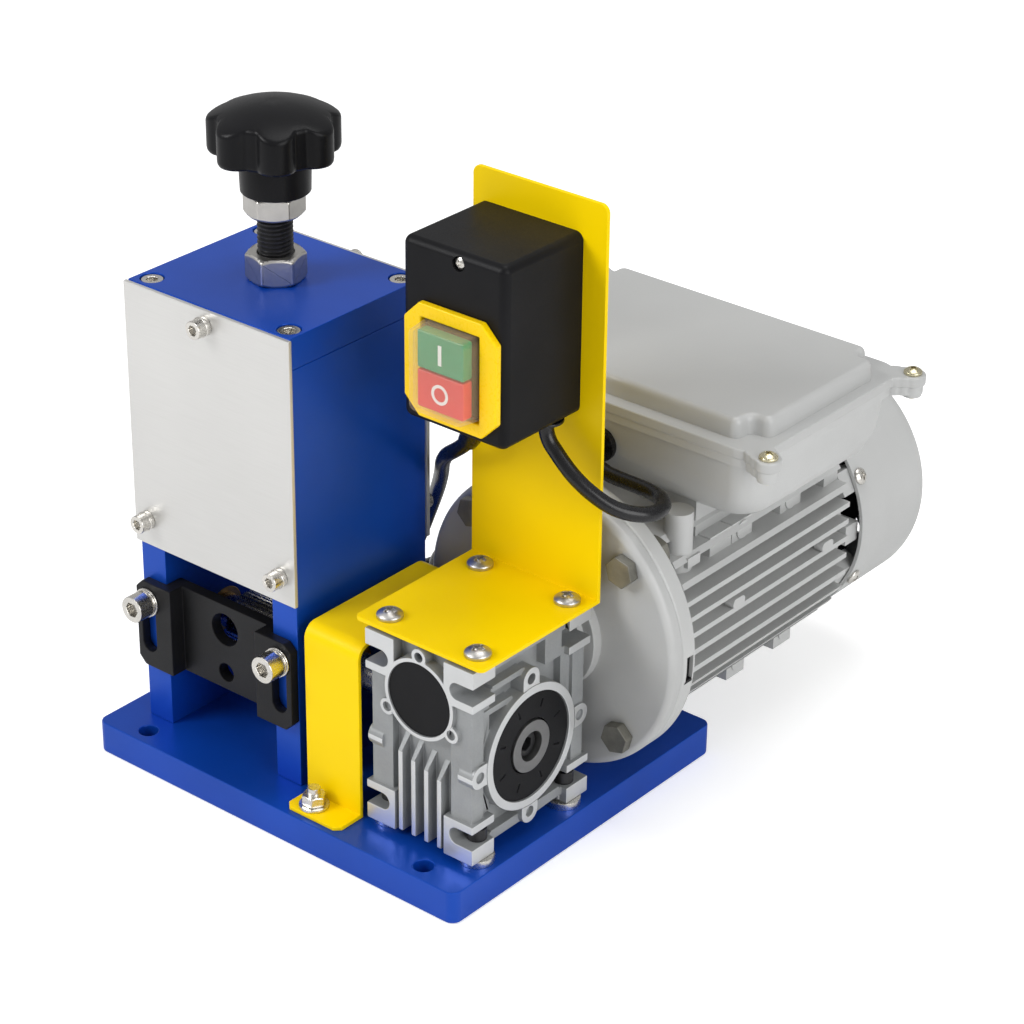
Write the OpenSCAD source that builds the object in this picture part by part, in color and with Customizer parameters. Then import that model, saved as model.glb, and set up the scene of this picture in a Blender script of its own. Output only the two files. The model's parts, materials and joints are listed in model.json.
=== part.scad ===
// Bench wire stripper: a blade head and a worm gearbox with its motor on one base plate.
// Millimetres. Origin at the middle of the base plate's underside, front towards -Y, +Z up.

/* [Base plate] */
// Width of the base plate
base_w = 220; // [212:1:260]
// Depth of the base plate
base_d = 186; // [184:1:230]
// Thickness of the base plate
base_t = 16; // [14:1:24]
// Radius of its upright corners
base_corner_r = 5; // [2:1:12]
// Diameter of the bench bolt holes
base_hole_d = 9; // [6:0.5:10]
// Bench bolt spacing, side to side
base_hole_dx = 170; // [166:1:176]
// Bench bolt spacing, front to back
base_hole_dy = 168; // [160:1:172]

/* [Head] */
// Sideways place of the middle of the head
head_x = -47; // [-50:0.5:-46]
// Place of the front face of the head
head_front = -72.5; // [-76:0.5:-70]
// Width of the head
head_w = 97; // [92:1:100]
// Depth of the head
head_d = 86; // [82:1:90]
// Height of the head above the base plate
head_h = 222.5; // [210:0.5:235]
// Thickness of the side walls
wall_t = 15; // [13:1:17]
// Thickness of the top plate
top_t = 15; // [13:1:20]
// Shank diameter of the screws that hold the walls
wall_screw_d = 6; // [5:1:7]
// Thickness of the steel cover sheets
cover_t = 2; // [1:0.5:3]
// Height of the steel cover sheets
cover_h = 129; // [118:1:134]
// How far a cover sheet stands past each wall
cover_lip = 1; // [0:0.5:2]
// Shank diameter of the cover screws
cover_screw_d = 5; // [5:0.5:6]

/* [Wire guide] */
// Height of the guide
guide_h = 44.5; // [42:0.5:47]
// Height of the guide's lower edge above the base plate
guide_low = 30.5; // [28:0.5:32]
// Width of each slotted ear
guide_ear_w = 22; // [21:0.5:24]
// Thickness of the ears
guide_ear_t = 5; // [4:0.5:7]
// Depth of the panel face behind the face of the ears
guide_recess = 8; // [7:0.5:9]
// Thickness of the panel
guide_panel_t = 6; // [4:0.5:8]
// Diameter of the hole for thick wire
guide_big_d = 16; // [12:0.5:18]
// Diameter of the hole for thin wire
guide_small_d = 9; // [5:0.5:11]
// Distance between the two holes
guide_hole_gap = 22.5; // [20:0.5:24]
// How far the guide slides up
guide_travel = 18; // [12:1:18]
// Shank diameter of the guide screws
guide_screw_d = 8; // [6:1:8]

/* [Blade and feed] */
// Diameter of the feed roller
roller_d = 28; // [26:1:30]
// Width of the feed roller
roller_w = 40; // [20:1:50]
// Grooves round the feed roller
roller_grooves = 40; // [24:1:60]
// Diameter of the round blade
blade_d = 48; // [44:1:50]
// Thickness of the round blade
blade_t = 3; // [2:0.5:5]
// Space between roller and blade as it stands
blade_gap = 12; // [12:0.5:16]
// Diameter of the blade axle
blade_axle_d = 12; // [8:1:14]
// Diameter of the feed shaft in the head
feed_shaft_d = 16; // [15:0.5:18]
// Outer diameter of the bushes in the side walls
bush_d = 22; // [21:1:26]

/* [Adjusting screw and knob] */
// Diameter of the threaded rod
rod_d = 16; // [12:1:18]
// Width across flats of the lock nut
lock_nut_af = 24; // [22:1:30]
// Height of the lock nut
lock_nut_h = 13; // [8:1:16]
// Bare rod between lock nut and jam nut
rod_bare = 17.5; // [14:0.5:30]
// Height of the jam nut under the knob
jam_nut_h = 10.5; // [6:0.5:12]
// Diameter of the knob over its lobes
knob_d = 59.5; // [50:0.5:70]
// Height of the knob's lobes
knob_lobe_h = 16.5; // [12:0.5:24]
// Number of lobes
knob_lobes = 7; // [5:1:9]
// Diameter of the knob's hub
knob_hub_d = 32; // [26:0.5:34]
// Height of the knob's hub
knob_hub_h = 15.5; // [8:0.5:18]

/* [Gearbox] */
// Sideways place of the middle of the gearbox
gearbox_x = 74.6; // [74:0.1:78]
// Front to back place of the feed shaft and of the middle of the gearbox
shaft_y = -35.2; // [-36.5:0.1:-34]
// Width of the gearbox
gearbox_w = 61; // [58:1:63]
// Length of the gearbox along the worm
gearbox_d = 80; // [78:1:84]
// Height of the gearbox
gearbox_h = 97; // [94:1:102]
// Height of the output shaft over the gearbox feet
output_h = 42.5; // [40:0.5:44]
// Distance between worm and wheel axes
centre_distance = 30; // [29.8:0.1:30.3]
// Thickness of the washers under the gearbox feet
foot_washer_t = 3.5; // [2:0.5:5]
// Outer diameter of the hollow output shaft
hollow_shaft_d = 25; // [24:0.5:26]
// Bore of the hollow output shaft
hollow_bore_d = 14; // [12:0.5:15]
// Diameter of the black output covers
output_cover_d = 52; // [51.5:0.5:54]
// Diameter of the black worm cap
worm_cap_d = 35; // [33:0.5:37]
// Teeth of the worm wheel
wheel_teeth = 30; // [30:1:30]

/* [Motor] */
// Diameter of the mating flanges
flange_d = 140; // [136:1:150]
// Thickness of the gearbox flange rim
flange_t = 7; // [5:0.5:9]
// Pitch circle of the flange bolts
flange_pcd = 119.5; // [115:0.5:122]
// Distance from the gearbox to the mating face of the flanges
flange_reach = 15; // [14.5:0.5:18]
// Length of the finned motor frame
motor_frame_l = 128; // [120:1:140]
// Half width of the frame over its side fins
fin_reach = 57; // [54:0.5:57.5]
// Pitch of the cooling fins
fin_pitch = 9; // [8:0.5:12]
// Thickness of a cooling fin
fin_t = 2.6; // [2:0.2:4]
// Diameter of the fan cowl
cowl_d = 120; // [118:1:126]
// Length of the fan cowl
cowl_l = 60; // [52:1:70]
// Gap between the fins and the fan cowl
cowl_gap = 8; // [6:0.5:10]
// Diameter of the motor shaft in the worm
motor_shaft_d = 11; // [9:0.5:11]

/* [Terminal box] */
// Width of the lid rim
lid_w = 173; // [164:1:180]
// Length of the lid rim
lid_d = 115; // [112:1:120]
// Height of the top of the lid
lid_top = 200; // [198:0.5:206]
// Height of the box below the lid
box_h = 39; // [37:1:41]
// How far the box draws in at the foot on each side
box_taper = 17; // [12:1:19]
// Wall of the box
box_wall = 3; // [2:0.5:4]

/* [Sheet metal] */
// Thickness of the yellow sheets
sheet_t = 2; // [1.5:0.5:2.5]
// Width of the switch bracket
bracket_w = 72; // [70:1:74]
// Height of the upright above the gearbox
bracket_h = 186.5; // [182:0.5:200]
// Height of the spacers under the bracket
bracket_spacer_t = 1; // [0.5:0.5:3]
// Width of the shaft guard
guard_w = 32; // [28:1:34]
// Height of the shaft guard above the base plate
guard_h = 88; // [84:1:92]

/* [Switch] */
// Width of the switch box
switch_w = 56; // [52:0.5:58]
// Height of the switch box
switch_h = 83; // [80:1:90]
// Depth of the switch box
switch_d = 50; // [46:1:54]
// Height of the foot of the switch box above the bracket plate
switch_low = 86.5; // [82:0.5:92]
// How far a button goes in
button_travel = 3; // [1.5:0.5:3]

/* [Leads] */
// Diameter of the leads
lead_d = 7; // [6:0.5:7]

/* [Hidden] */
$fn = 48;

// Clearances
run_gap = 0.05;
slide_gap = 0.3;
seat_gap = 0.02;
eps = 0.01;

// Head
head_left = head_x - head_w / 2;
head_right = head_x + head_w / 2;
head_rear = head_front + head_d;
head_y = head_front + head_d / 2;
head_top = base_t + head_h;
wall_h = head_h - top_t;
inner_w = head_w - 2 * wall_t;
cover_low = head_top - cover_h;
wall_screw_inset = wall_t / 2;
wall_screw_head_d = wall_screw_d * 1.65;
wall_screw_l = 22;

// Gearbox and shafts
gearbox_low = base_t + foot_washer_t;
gearbox_top = gearbox_low + gearbox_h;
gearbox_left = gearbox_x - gearbox_w / 2;
gearbox_right = gearbox_x + gearbox_w / 2;
gearbox_front = shaft_y - gearbox_d / 2;
gearbox_rear = shaft_y + gearbox_d / 2;
shaft_z = gearbox_low + output_h;
worm_z = shaft_z + centre_distance;
foot_dx = 49.5;
foot_dy = 60;
foot_bolt_d = 6;
foot_t = 8;

// Worm and wheel
worm_r = 8;
worm_root_r = 5.6;
mesh_gap = 0.5;
wheel_pitch_r = centre_distance - (worm_r + worm_root_r) / 2;
worm_pitch = 2 * PI * wheel_pitch_r / wheel_teeth;
wheel_tip_r = centre_distance - worm_root_r - mesh_gap;
wheel_root_r = centre_distance - worm_r - mesh_gap;
wheel_w = 8;
worm_l = 30;
worm_front_d = 12;
worm_rear_d = 17;

// Bearings: bore, outside diameter and width
output_bearing = [hollow_shaft_d, 42, 9];
worm_front_bearing = [worm_front_d, 24, 6];
worm_rear_bearing = [worm_rear_d, 30, 7];
motor_bearing = [15, 35, 11];

// Flanges and motor
mate_y = gearbox_rear + flange_reach;
motor_flange_t = 10;
frame_front = mate_y + motor_flange_t + 8;
frame_rear = frame_front + motor_frame_l;
cowl_front = frame_rear + cowl_gap;
cowl_rear = cowl_front + cowl_l;
core_r = 48;
bore_r = 43;
rotor_r = 27.5;
stator_l = 72;
stator_mid = (frame_front + frame_rear) / 2;
flange_bolt_d = 8;
flange_bolt_land = 13;
land_step = 0.5;
flange_hub_r = 30;
flange_edge_r = flange_t / 2;

// Terminal box
lid_rise = 9;
lid_rim_t = 5;
box_top = lid_top - lid_rise - lid_rim_t;
box_low = box_top - box_h;
box_y = frame_front + 64.5;
lug_dx = lid_w + 8;
lug_dy = lid_d - 4;
lid_screw_d = 4;

// Switch bracket and guard
bracket_low = gearbox_top + bracket_spacer_t;
bracket_front = gearbox_front + 1;
bracket_back = gearbox_rear + 1;
flange_neck_r = bracket_low - worm_z - 1;
flange_neck_l = bracket_back - gearbox_rear + 2;
bracket_x = gearbox_x - 1.5;
guard_x = (head_right + gearbox_left) / 2 + 1;
guard_front = gearbox_front + 0.2;
guard_back = gearbox_rear + 2.2;
guard_foot = 15;
guard_stud_d = 6;
guard_stud_x = guard_x - 5;
guard_bend_r = 7;

// Switch
button_x = bracket_x - 3;
switch_x = button_x - 1.2;
switch_wall = 2.4;
switch_z = bracket_low + sheet_t + switch_low;
switch_back = bracket_back - sheet_t;
switch_face = switch_back - switch_d;
button_w = 25;
button_h = 17;
button_z = switch_z + 31;
button_gap = 0.8;
boot_w = 31.5;
boot_h = 39.5;
boot_reach = 12;
boot_wall = 1.2;
escutcheon_t = 3.5;
button_cap_t = 6;
button_back = switch_face - button_travel - 0.5;

// Adjusting screw and blade
blade_z = shaft_z + roller_d / 2 + blade_gap + blade_d / 2;
carriage_w = inner_w - 2 * slide_gap;
carriage_d = 58;
carriage_y = head_y - 1;
carriage_low = blade_z - 9;
carriage_top = blade_z + 38;
collar_d = 22;
collar_t = 5.4;
collar_room = 6;
neck_d = 12;
neck_h = 5;
knob_low = head_top + lock_nut_h + rod_bare + jam_nut_h;
knob_crown_r = 2 * knob_d;

// Guide
guide_z = base_t + guide_low;
guide_face = head_front - guide_ear_t;
guide_big_z = guide_z + guide_h - guide_big_d / 2 - 5;
guide_slot_z = guide_z + 12.5;
guide_slot_l = 22;
guide_screw_z = guide_slot_z + guide_slot_l;
guide_washer_t = 1.2;
split_washer_t = 1.2;
cover_washer_t = 2.5;

// Routes of the leads, round points from end to end
motor_lead_route = [
    [88, -8, 204.5], [88.5, -8, 199.5], [90.5, -8, 195], [94, -8, 191.5], [99, -8.5, 187.5],
    [105, -8.5, 183], [112, -6.5, 177.5], [119.5, -2.5, 172], [126, 3.5, 168.5], [130, 11, 166.5],
    [130, 19.5, 165.5], [125.5, 26.5, 165], [117.5, 30.5, 164.5], [108.5, 31.5, 164.5],
    [98, 31.5, 164.5], [89.5, 32, 165], [82, 34.5, 166], [77, 40, 167], [75, 47.5, 168]
];
mains_lead_route = [
    [54, -12, 204.5], [53.5, -12, 198], [52, -11.5, 192], [49.5, -10.5, 186.5], [46, -9.5, 181.5],
    [41.5, -8, 177], [36, -6, 172.5], [29.5, -2.5, 167.5], [22, 3.5, 161], [13.5, 11.5, 152],
    [4.5, 21, 140], [-7, 31.5, 124], [-20.5, 41, 103.5], [-37, 51.5, 78], [-54.5, 63, 55],
    [-72, 77, 38.5], [-86, 91, 28], [-96, 104, 19], [-102, 118, 11], [-105, 132, 5.5],
    [-105, 142, 3.6], [-105, 150, 3.6]
];
coil_centre = [-54, 157];
coil_outer_r = 51;
coil_pitch = lead_d + 0.6;
coil_layer = lead_d + 0.6;
coil_turns = 6.25;
coil_low = 3.6;
coil_steps = 24;

// Smooth points along a route, with n steps between two of its points
function spline(a, b, c, d, t) = 0.5 * (2 * b + (c - a) * t + (2 * a - 5 * b + 4 * c - d) * t * t
    + (3 * b - a - 3 * c + d) * t * t * t);
function smooth_route(p, n) = [
    for (i = [0 : len(p) - 2], k = [0 : n - 1])
        spline(p[max(i - 1, 0)], p[i], p[i + 1], p[min(i + 2, len(p) - 1)], k / n),
    p[len(p) - 1]
];

// Direction of a run of points at its i-th point
function heading(p, i) =
    let (v = p[min(i + 1, len(p) - 1)] - p[max(i - 1, 0)]) v / norm(v);

// Closed solid through n rings of points, each with the same number of sides
module ring_stack(points, n, sides) {
    walls = [
        for (i = [0 : n - 2], k = [0 : sides - 1])
            let (k2 = (k + 1) % sides, lo = i * sides, hi = (i + 1) * sides)
                each [[lo + k, lo + k2, hi + k2], [lo + k, hi + k2, hi + k]]
    ];
    start = [for (k = [1 : sides - 2]) [0, k + 1, k]];
    end = [for (k = [1 : sides - 2]) [0, k, k + 1] + (n - 1) * sides * [1, 1, 1]];
    polyhedron(points = points, faces = concat(walls, start, end));
}

// Round tube of radius r along points p, whose rings turn against the reference direction
module tube(p, r, sides, reference) taper(p, r, r, sides, reference);

// Tube whose radius runs from r0 to r1
module taper(p, r0, r1, sides, reference) {
    n = len(p) - 1;
    rings = [
        for (i = [0 : n])
            let (t = heading(p, i), s = cross(t, reference), a = s / norm(s), b = cross(a, t))
                for (k = [0 : sides - 1])
                    let (turn = 360 * (k + 0.5) / sides, r = r0 + (r1 - r0) * i / n)
                        p[i] + r * (cos(turn) * a + sin(turn) * b)
    ];
    ring_stack(rings, n + 1, sides);
}

// Coil: the lead runs in clockwise in the lower layer, climbs as the spiral turns, and runs out above
coil_half = coil_turns / 2;
function coil_spread(u) = u < coil_half ? coil_outer_r - coil_pitch * u
    : coil_outer_r - coil_pitch * (coil_turns - u);
function coil_rise(u) = coil_layer * min(max((u - coil_half + 0.25) / 0.5, 0), 1);
function coil_point(u) = [
    coil_centre.x - coil_spread(u) * cos(360 * u),
    coil_centre.y + coil_spread(u) * sin(360 * u),
    coil_low + coil_rise(u)
];
coil_last = coil_point(coil_turns);
coil_points = [
    coil_point(0) - [0, lead_d, 0],
    for (i = [0 : coil_turns * coil_steps]) coil_point(i / coil_steps),
    coil_last + [lead_d, 0, 0]
];
coil_least = min([
    for (i = [0 : len(coil_points) - 1], k = [i + coil_steps / 2 : len(coil_points) - 1])
        norm(coil_points[i] - coil_points[k])
]);
echo(coil_least_gap = coil_least - lead_d);

// Shapes that repeat
module along_x() rotate([0, 90, 0]) children();
module along_y() rotate([-90, 0, 0]) children();
module four(dx, dy) for (sx = [-1, 1], sy = [-1, 1]) translate([sx * dx / 2, sy * dy / 2, 0]) children();

module rounded_rect(w, d, r) {
    square([w - 2 * r, d], center = true);
    square([w, d - 2 * r], center = true);
    four(w - 2 * r, d - 2 * r) circle(r);
}

module slot_2d(l, w) {
    square([l - w, w], center = true);
    for (s = [-1, 1]) translate([s * (l - w) / 2, 0]) circle(d = w);
}

module ring(od, id, h) difference() {
    cylinder(d = od, h = h);
    translate([0, 0, -1]) cylinder(d = id, h = h + 2);
}

// Tapered box with rounded corners, from w0 by d0 at the foot to w1 by d1 at height h
module loft(w0, d0, w1, d1, h, r) hull() {
    linear_extrude(eps) rounded_rect(w0, d0, r, $fn = 32);
    translate([0, 0, h - eps]) linear_extrude(eps) rounded_rect(w1, d1, r, $fn = 32);
}

// Socket cap screw: underside of the head at z = 0, shank below
module cap_screw(d, l, head_d, head_h) difference() {
    union() {
        cylinder(d = head_d, h = head_h);
        translate([0, 0, -l]) cylinder(d = d, h = l + eps);
    }
    translate([0, 0, head_h * 0.45]) cylinder(d = head_d * 0.58, h = head_h, $fn = 6);
}

// Pan head screw with a cross recess: underside of the head at z = 0
module pan_screw(d, l, head_d, head_h) difference() {
    union() {
        intersection() {
            cylinder(d = head_d, h = head_h);
            translate([0, 0, head_h - head_d * 0.7]) sphere(d = head_d * 1.4);
        }
        translate([0, 0, -l]) cylinder(d = d, h = l + eps);
    }
    for (a = [0, 90]) rotate(a) translate([0, 0, head_h])
        cube([head_d * 0.5, d * 0.28, head_h], center = true);
}

// Hex nut with both ends turned down to a chamfer
module hex_nut(af, bore, h) difference() {
    reach = af / cos(30) / 2;
    drop = (reach - af * 0.48) * tan(30);
    intersection() {
        cylinder(r = reach, h = h, $fn = 6);
        rotate_extrude() polygon([[0, 0], [af * 0.48, 0], [reach, drop], [reach, h - drop],
            [af * 0.48, h], [0, h]]);
    }
    translate([0, 0, -1]) cylinder(d = bore, h = h + 2);
}

// Ball bearing with its two rings and a cage of balls between them, centred on its width
module bearing(size) translate([0, 0, -size[2] / 2]) {
    third = (size[1] - size[0]) / 6;
    difference() {
        cylinder(d = size[1], h = size[2]);
        translate([0, 0, -1]) cylinder(d = size[0], h = size[2] + 2);
        for (z = [-1, size[2] - 1]) translate([0, 0, z])
            ring(size[1] - 2 * third, size[0] + 2 * third, 2);
    }
}

// Base plate and head
module base_plate() color("royalblue") difference() {
    linear_extrude(base_t) rounded_rect(base_w, base_d, base_corner_r);
    translate([0, 0, -1]) four(base_hole_dx, base_hole_dy) cylinder(d = base_hole_d, h = base_t + 2);
    head_corners() {
        translate([0, 0, -1]) cylinder(d = wall_screw_d + 2 * run_gap, h = base_t + 2);
        translate([0, 0, -1]) cylinder(d = wall_screw_head_d + 1, h = wall_screw_d + 1.5);
    }
    translate([gearbox_x, shaft_y, 2]) four(foot_dx, foot_dy)
        cylinder(d = foot_bolt_d + 2 * run_gap, h = base_t);
    guard_studs() cylinder(d = guard_stud_d + 2 * run_gap, h = 3 * base_t, center = true);
}

module head_corners() translate([head_x, head_y, 0])
    four(head_w - 2 * wall_screw_inset, head_d - 2 * wall_screw_inset) children();

module side_wall(side) color("royalblue") difference() {
    x = head_x + side * (head_w - wall_t) / 2;
    translate([x - wall_t / 2, head_front, base_t]) cube([wall_t, head_d, wall_h]);
    translate([x, shaft_y, shaft_z]) along_x()
        cylinder(d = bush_d + 2 * seat_gap, h = 2 * wall_t, center = true);
    for (z = [base_t, base_t + wall_h]) translate([0, 0, z]) head_corners()
        cylinder(d = wall_screw_d + 2 * run_gap, h = 2 * wall_screw_l, center = true);
    cover_screw_places() cylinder(d = cover_screw_d + 2 * run_gap, h = 24, center = true);
    translate([x, head_front, guide_screw_z]) along_y()
        cylinder(d = guide_screw_d + 2 * run_gap, h = 44, center = true);
}

module left_side_wall() side_wall(-1);
module right_side_wall() side_wall(1);

module top_plate() color("royalblue") difference() {
    translate([head_left, head_front, head_top - top_t]) cube([head_w, head_d, top_t]);
    translate([head_x, head_y, head_top]) cylinder(d = rod_d + 2 * run_gap, h = 3 * top_t, center = true);
    translate([0, 0, head_top]) head_corners() {
        cylinder(d = wall_screw_d + 2 * run_gap, h = 3 * top_t, center = true);
        translate([0, 0, -wall_screw_d]) cylinder(d = wall_screw_head_d + 1, h = top_t);
    }
    cover_screw_places() cylinder(d = cover_screw_d + 2 * run_gap, h = 24, center = true);
}

module wall_screws() color("gainsboro") {
    translate([0, 0, head_top - wall_screw_d]) head_corners()
        cap_screw(wall_screw_d, wall_screw_l, wall_screw_head_d, wall_screw_d - 0.5);
    translate([0, 0, wall_screw_d + 0.5]) mirror([0, 0, 1]) head_corners()
        cap_screw(wall_screw_d, wall_screw_l, wall_screw_head_d, wall_screw_d - 0.5);
}

// Places of the cover screws, heads pointing out: one at the top middle, two at the lower corners
module cover_screw_places() for (rear = [0, 1]) translate([head_x, head_y, 0]) rotate(180 * rear)
    for (p = [[0, head_top - top_t / 2], [-1, cover_low + 13], [1, cover_low + 13]])
        translate([p[0] * (head_w - wall_t) / 2, -head_d / 2, p[1]]) rotate([90, 0, 0]) children();

module cover_sheet(rear) color("lightgray") difference() {
    translate([head_x, head_y, 0]) rotate(rear ? 180 : 0)
        translate([-head_w / 2 - cover_lip, -head_d / 2 - cover_t, cover_low])
            cube([head_w + 2 * cover_lip, cover_t, cover_h - 0.5]);
    cover_screw_places() cylinder(d = cover_screw_d + 2 * run_gap, h = 24, center = true);
}

module front_cover() cover_sheet(false);
module rear_cover() cover_sheet(true);

module cover_screws() color("silver") cover_screw_places() translate([0, 0, cover_t]) {
    translate([0, 0, cover_washer_t])
        cap_screw(cover_screw_d, 12 + cover_washer_t, cover_screw_d * 1.7, cover_screw_d);
    ring(cover_screw_d * 1.8, cover_screw_d - eps, cover_washer_t);
}

// Wire guide: slotted ears in front of the walls, a drilled panel let in between them
module wire_guide() color("#202124") difference() {
    union() {
        for (s = [0, 1]) translate([head_x, 0, 0]) mirror([s, 0, 0])
            translate([-head_w / 2, head_front, guide_z]) guide_ear();
        translate([head_x - inner_w / 2 + slide_gap, guide_face + guide_recess, guide_z])
            cube([inner_w - 2 * slide_gap, guide_panel_t, guide_h]);
        for (s = [0, 1]) translate([head_x, 0, 0]) mirror([s, 0, 0])
            translate([-inner_w / 2 + slide_gap, guide_face, guide_z])
                cube([guide_ear_w - wall_t - slide_gap, guide_recess + guide_panel_t, guide_h]);
    }
    translate([head_x, head_front, guide_big_z]) along_y()
        cylinder(d = guide_big_d, h = 60, center = true);
    translate([head_x, head_front, guide_big_z - guide_hole_gap]) along_y()
        cylinder(d = guide_small_d, h = 60, center = true);
    for (s = [-1, 1]) translate([head_x + s * (head_w - wall_t) / 2, head_front,
        guide_slot_z + guide_slot_l / 2])
        rotate([90, 90, 0]) linear_extrude(60, center = true)
            slot_2d(guide_slot_l + guide_screw_d + 2 * slide_gap, guide_screw_d + 2 * slide_gap);
}

// One ear with its outer corners cut, its outer edge at x = 0
module guide_ear() {
    cut = 4;
    rotate([90, 0, 0]) translate([0, 0, slide_gap / 3]) linear_extrude(guide_ear_t - slide_gap / 3)
        polygon([[cut, 0], [guide_ear_w, 0], [guide_ear_w, guide_h], [cut, guide_h],
            [0, guide_h - cut], [0, cut]]);
}

module guide_screws() color("silver") for (s = [-1, 1])
    translate([head_x + s * (head_w - wall_t) / 2, guide_face - run_gap, guide_screw_z])
        rotate([90, 0, 0]) {
        translate([0, 0, guide_washer_t + split_washer_t])
            cap_screw(guide_screw_d, guide_ear_t + guide_washer_t + split_washer_t + 20,
                guide_screw_d * 1.6, guide_screw_d);
        ring(guide_screw_d * 1.75, guide_screw_d - eps, guide_washer_t);
        translate([0, 0, guide_washer_t]) ring(guide_screw_d * 1.55, guide_screw_d - eps, split_washer_t);
    }

module shaft_bushes() color("peru") for (s = [-1, 1])
    translate([head_x + s * (head_w - wall_t) / 2 - wall_t / 2, shaft_y, shaft_z]) along_x()
        ring(bush_d, feed_shaft_d + 2 * run_gap, wall_t);

// Blade carriage: a fork round the blade, with a cross slot that holds the collar of the screw
module blade_carriage() color("dimgray") difference() {
    translate([head_x - carriage_w / 2, carriage_y - carriage_d / 2, carriage_low])
        cube([carriage_w, carriage_d, carriage_top - carriage_low]);
    translate([head_x - blade_t / 2 - 3, carriage_y - carriage_d, carriage_low - 1])
        cube([blade_t + 6, 2 * carriage_d, blade_z + blade_d / 2 + 2 - carriage_low + 1]);
    translate([0, shaft_y, blade_z]) along_x()
        translate([0, 0, head_x])
            cylinder(d = blade_axle_d + 2 * run_gap, h = 2 * carriage_w, center = true);
    cross_slot(collar_d + 2 * slide_gap, collar_room, carriage_top - neck_h - collar_room);
    cross_slot(neck_d + 2 * slide_gap, neck_h + 1, carriage_top - neck_h - eps);
}

module cross_slot(w, h, z) translate([head_x, head_y, z]) {
    cylinder(d = w, h = h);
    translate([-w / 2, -carriage_d, 0]) cube([w, carriage_d, h]);
}

module blade_axle() color("silver") translate([head_x, shaft_y, blade_z]) along_x()
    cylinder(d = blade_axle_d, h = carriage_w - 2, center = true);

module blade_wheel() color("silver") translate([head_x, shaft_y, blade_z]) along_x()
    rotate_extrude($fn = 96) {
    bore = blade_axle_d / 2 + run_gap;
    hub = blade_axle_d / 2 + 5;
    translate([bore, -blade_t / 2 - 2.7]) square([hub - bore, blade_t + 5.4]);
    polygon([[bore, -blade_t / 2], [blade_d / 2 - 4, -blade_t / 2], [blade_d / 2, 0],
        [blade_d / 2 - 4, blade_t / 2], [bore, blade_t / 2]]);
}

// Adjusting screw, its nuts and the knob
module adjusting_screw() color("#26272a") translate([head_x, head_y, 0]) {
    collar_z = carriage_top - neck_h - collar_room + (collar_room - collar_t) / 2;
    translate([0, 0, collar_z]) cylinder(d = collar_d, h = collar_t);
    translate([0, 0, collar_z]) cylinder(d = neck_d, h = carriage_top - collar_z + 1);
    translate([0, 0, carriage_top + 0.5]) cylinder(d = rod_d, h = knob_low + knob_hub_h - carriage_top);
}

module lock_nut() color("silver") translate([head_x, head_y, head_top]) rotate(46)
    hex_nut(lock_nut_af, rod_d + 2 * run_gap, lock_nut_h);

module jam_nut() color("silver") translate([head_x, head_y, knob_low - jam_nut_h]) rotate(41)
    hex_nut(lock_nut_af, rod_d + 2 * seat_gap, jam_nut_h);

// Star knob: lobes under one shallow crown, on a round hub
module knob() color("#18191b") translate([head_x, head_y, knob_low]) difference() {
    lobe_r = knob_d * 0.14;
    union() {
        cylinder(d1 = knob_hub_d - 1, d2 = knob_hub_d, h = knob_hub_h + eps);
        intersection() {
            translate([0, 0, knob_hub_h]) linear_extrude(knob_lobe_h + 4) knob_outline(lobe_r);
            translate([0, 0, knob_hub_h + knob_lobe_h - sqrt(knob_crown_r ^ 2 - (knob_d / 2) ^ 2)])
                rotate([90, 0, 0]) sphere(knob_crown_r, $fn = 96);
        }
    }
    translate([0, 0, -eps]) cylinder(d = rod_d + 2 * seat_gap, h = knob_hub_h + 0.6);
}

module knob_outline(lobe_r) rotate(-10) {
    circle(knob_d / 2 - lobe_r);
    for (i = [0 : knob_lobes - 1]) rotate(360 * i / knob_lobes) translate([knob_d / 2 - lobe_r, 0])
        circle(lobe_r);
}

// Feed shaft and roller
module feed_shaft() color("silver") translate([0, shaft_y, shaft_z]) along_x() difference() {
    union() {
        translate([0, 0, head_left + 2]) cylinder(d = feed_shaft_d, h = gearbox_left - 2.5 - head_left);
        translate([0, 0, gearbox_left - 1]) cylinder(d = hollow_bore_d - 2 * seat_gap, h = gearbox_w - 8);
    }
    translate([0, 0, gearbox_right - 25]) cylinder(d = 6 + 2 * seat_gap, h = 20);
}

module feed_roller() color("gray") translate([head_x - roller_w / 2, shaft_y, shaft_z]) along_x()
    linear_extrude(roller_w) difference() {
        circle(d = roller_d, $fn = 96);
        circle(d = feed_shaft_d + 2 * seat_gap);
        for (i = [0 : roller_grooves - 1]) rotate(360 * i / roller_grooves) translate([roller_d / 2, 0])
            polygon([[-0.9, 0], [0.6, -0.9], [0.6, 0.9]]);
    }

module output_shaft() color("silver") translate([gearbox_left, shaft_y, shaft_z]) along_x()
    ring(hollow_shaft_d - 2 * run_gap, hollow_bore_d, gearbox_w);

module shaft_screw() color("#2b2c2e") translate([gearbox_right - 9, shaft_y, shaft_z]) along_x()
    cap_screw(6, 14, hollow_bore_d - 2, 6);

// Worm wheel with straight teeth, and the worm that drives it
module worm_wheel() color("goldenrod") translate([gearbox_x - wheel_w / 2, shaft_y, shaft_z]) along_x()
    linear_extrude(wheel_w) difference() {
        union() {
            circle(wheel_root_r, $fn = 96);
            for (i = [0 : wheel_teeth - 1]) rotate(360 * i / wheel_teeth)
                polygon([[wheel_root_r - 1, -0.95], [wheel_tip_r, -0.5], [wheel_tip_r, 0.5],
                    [wheel_root_r - 1, 0.95]]);
        }
        circle(d = hollow_shaft_d - 2 * run_gap + 2 * seat_gap);
    }

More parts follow.
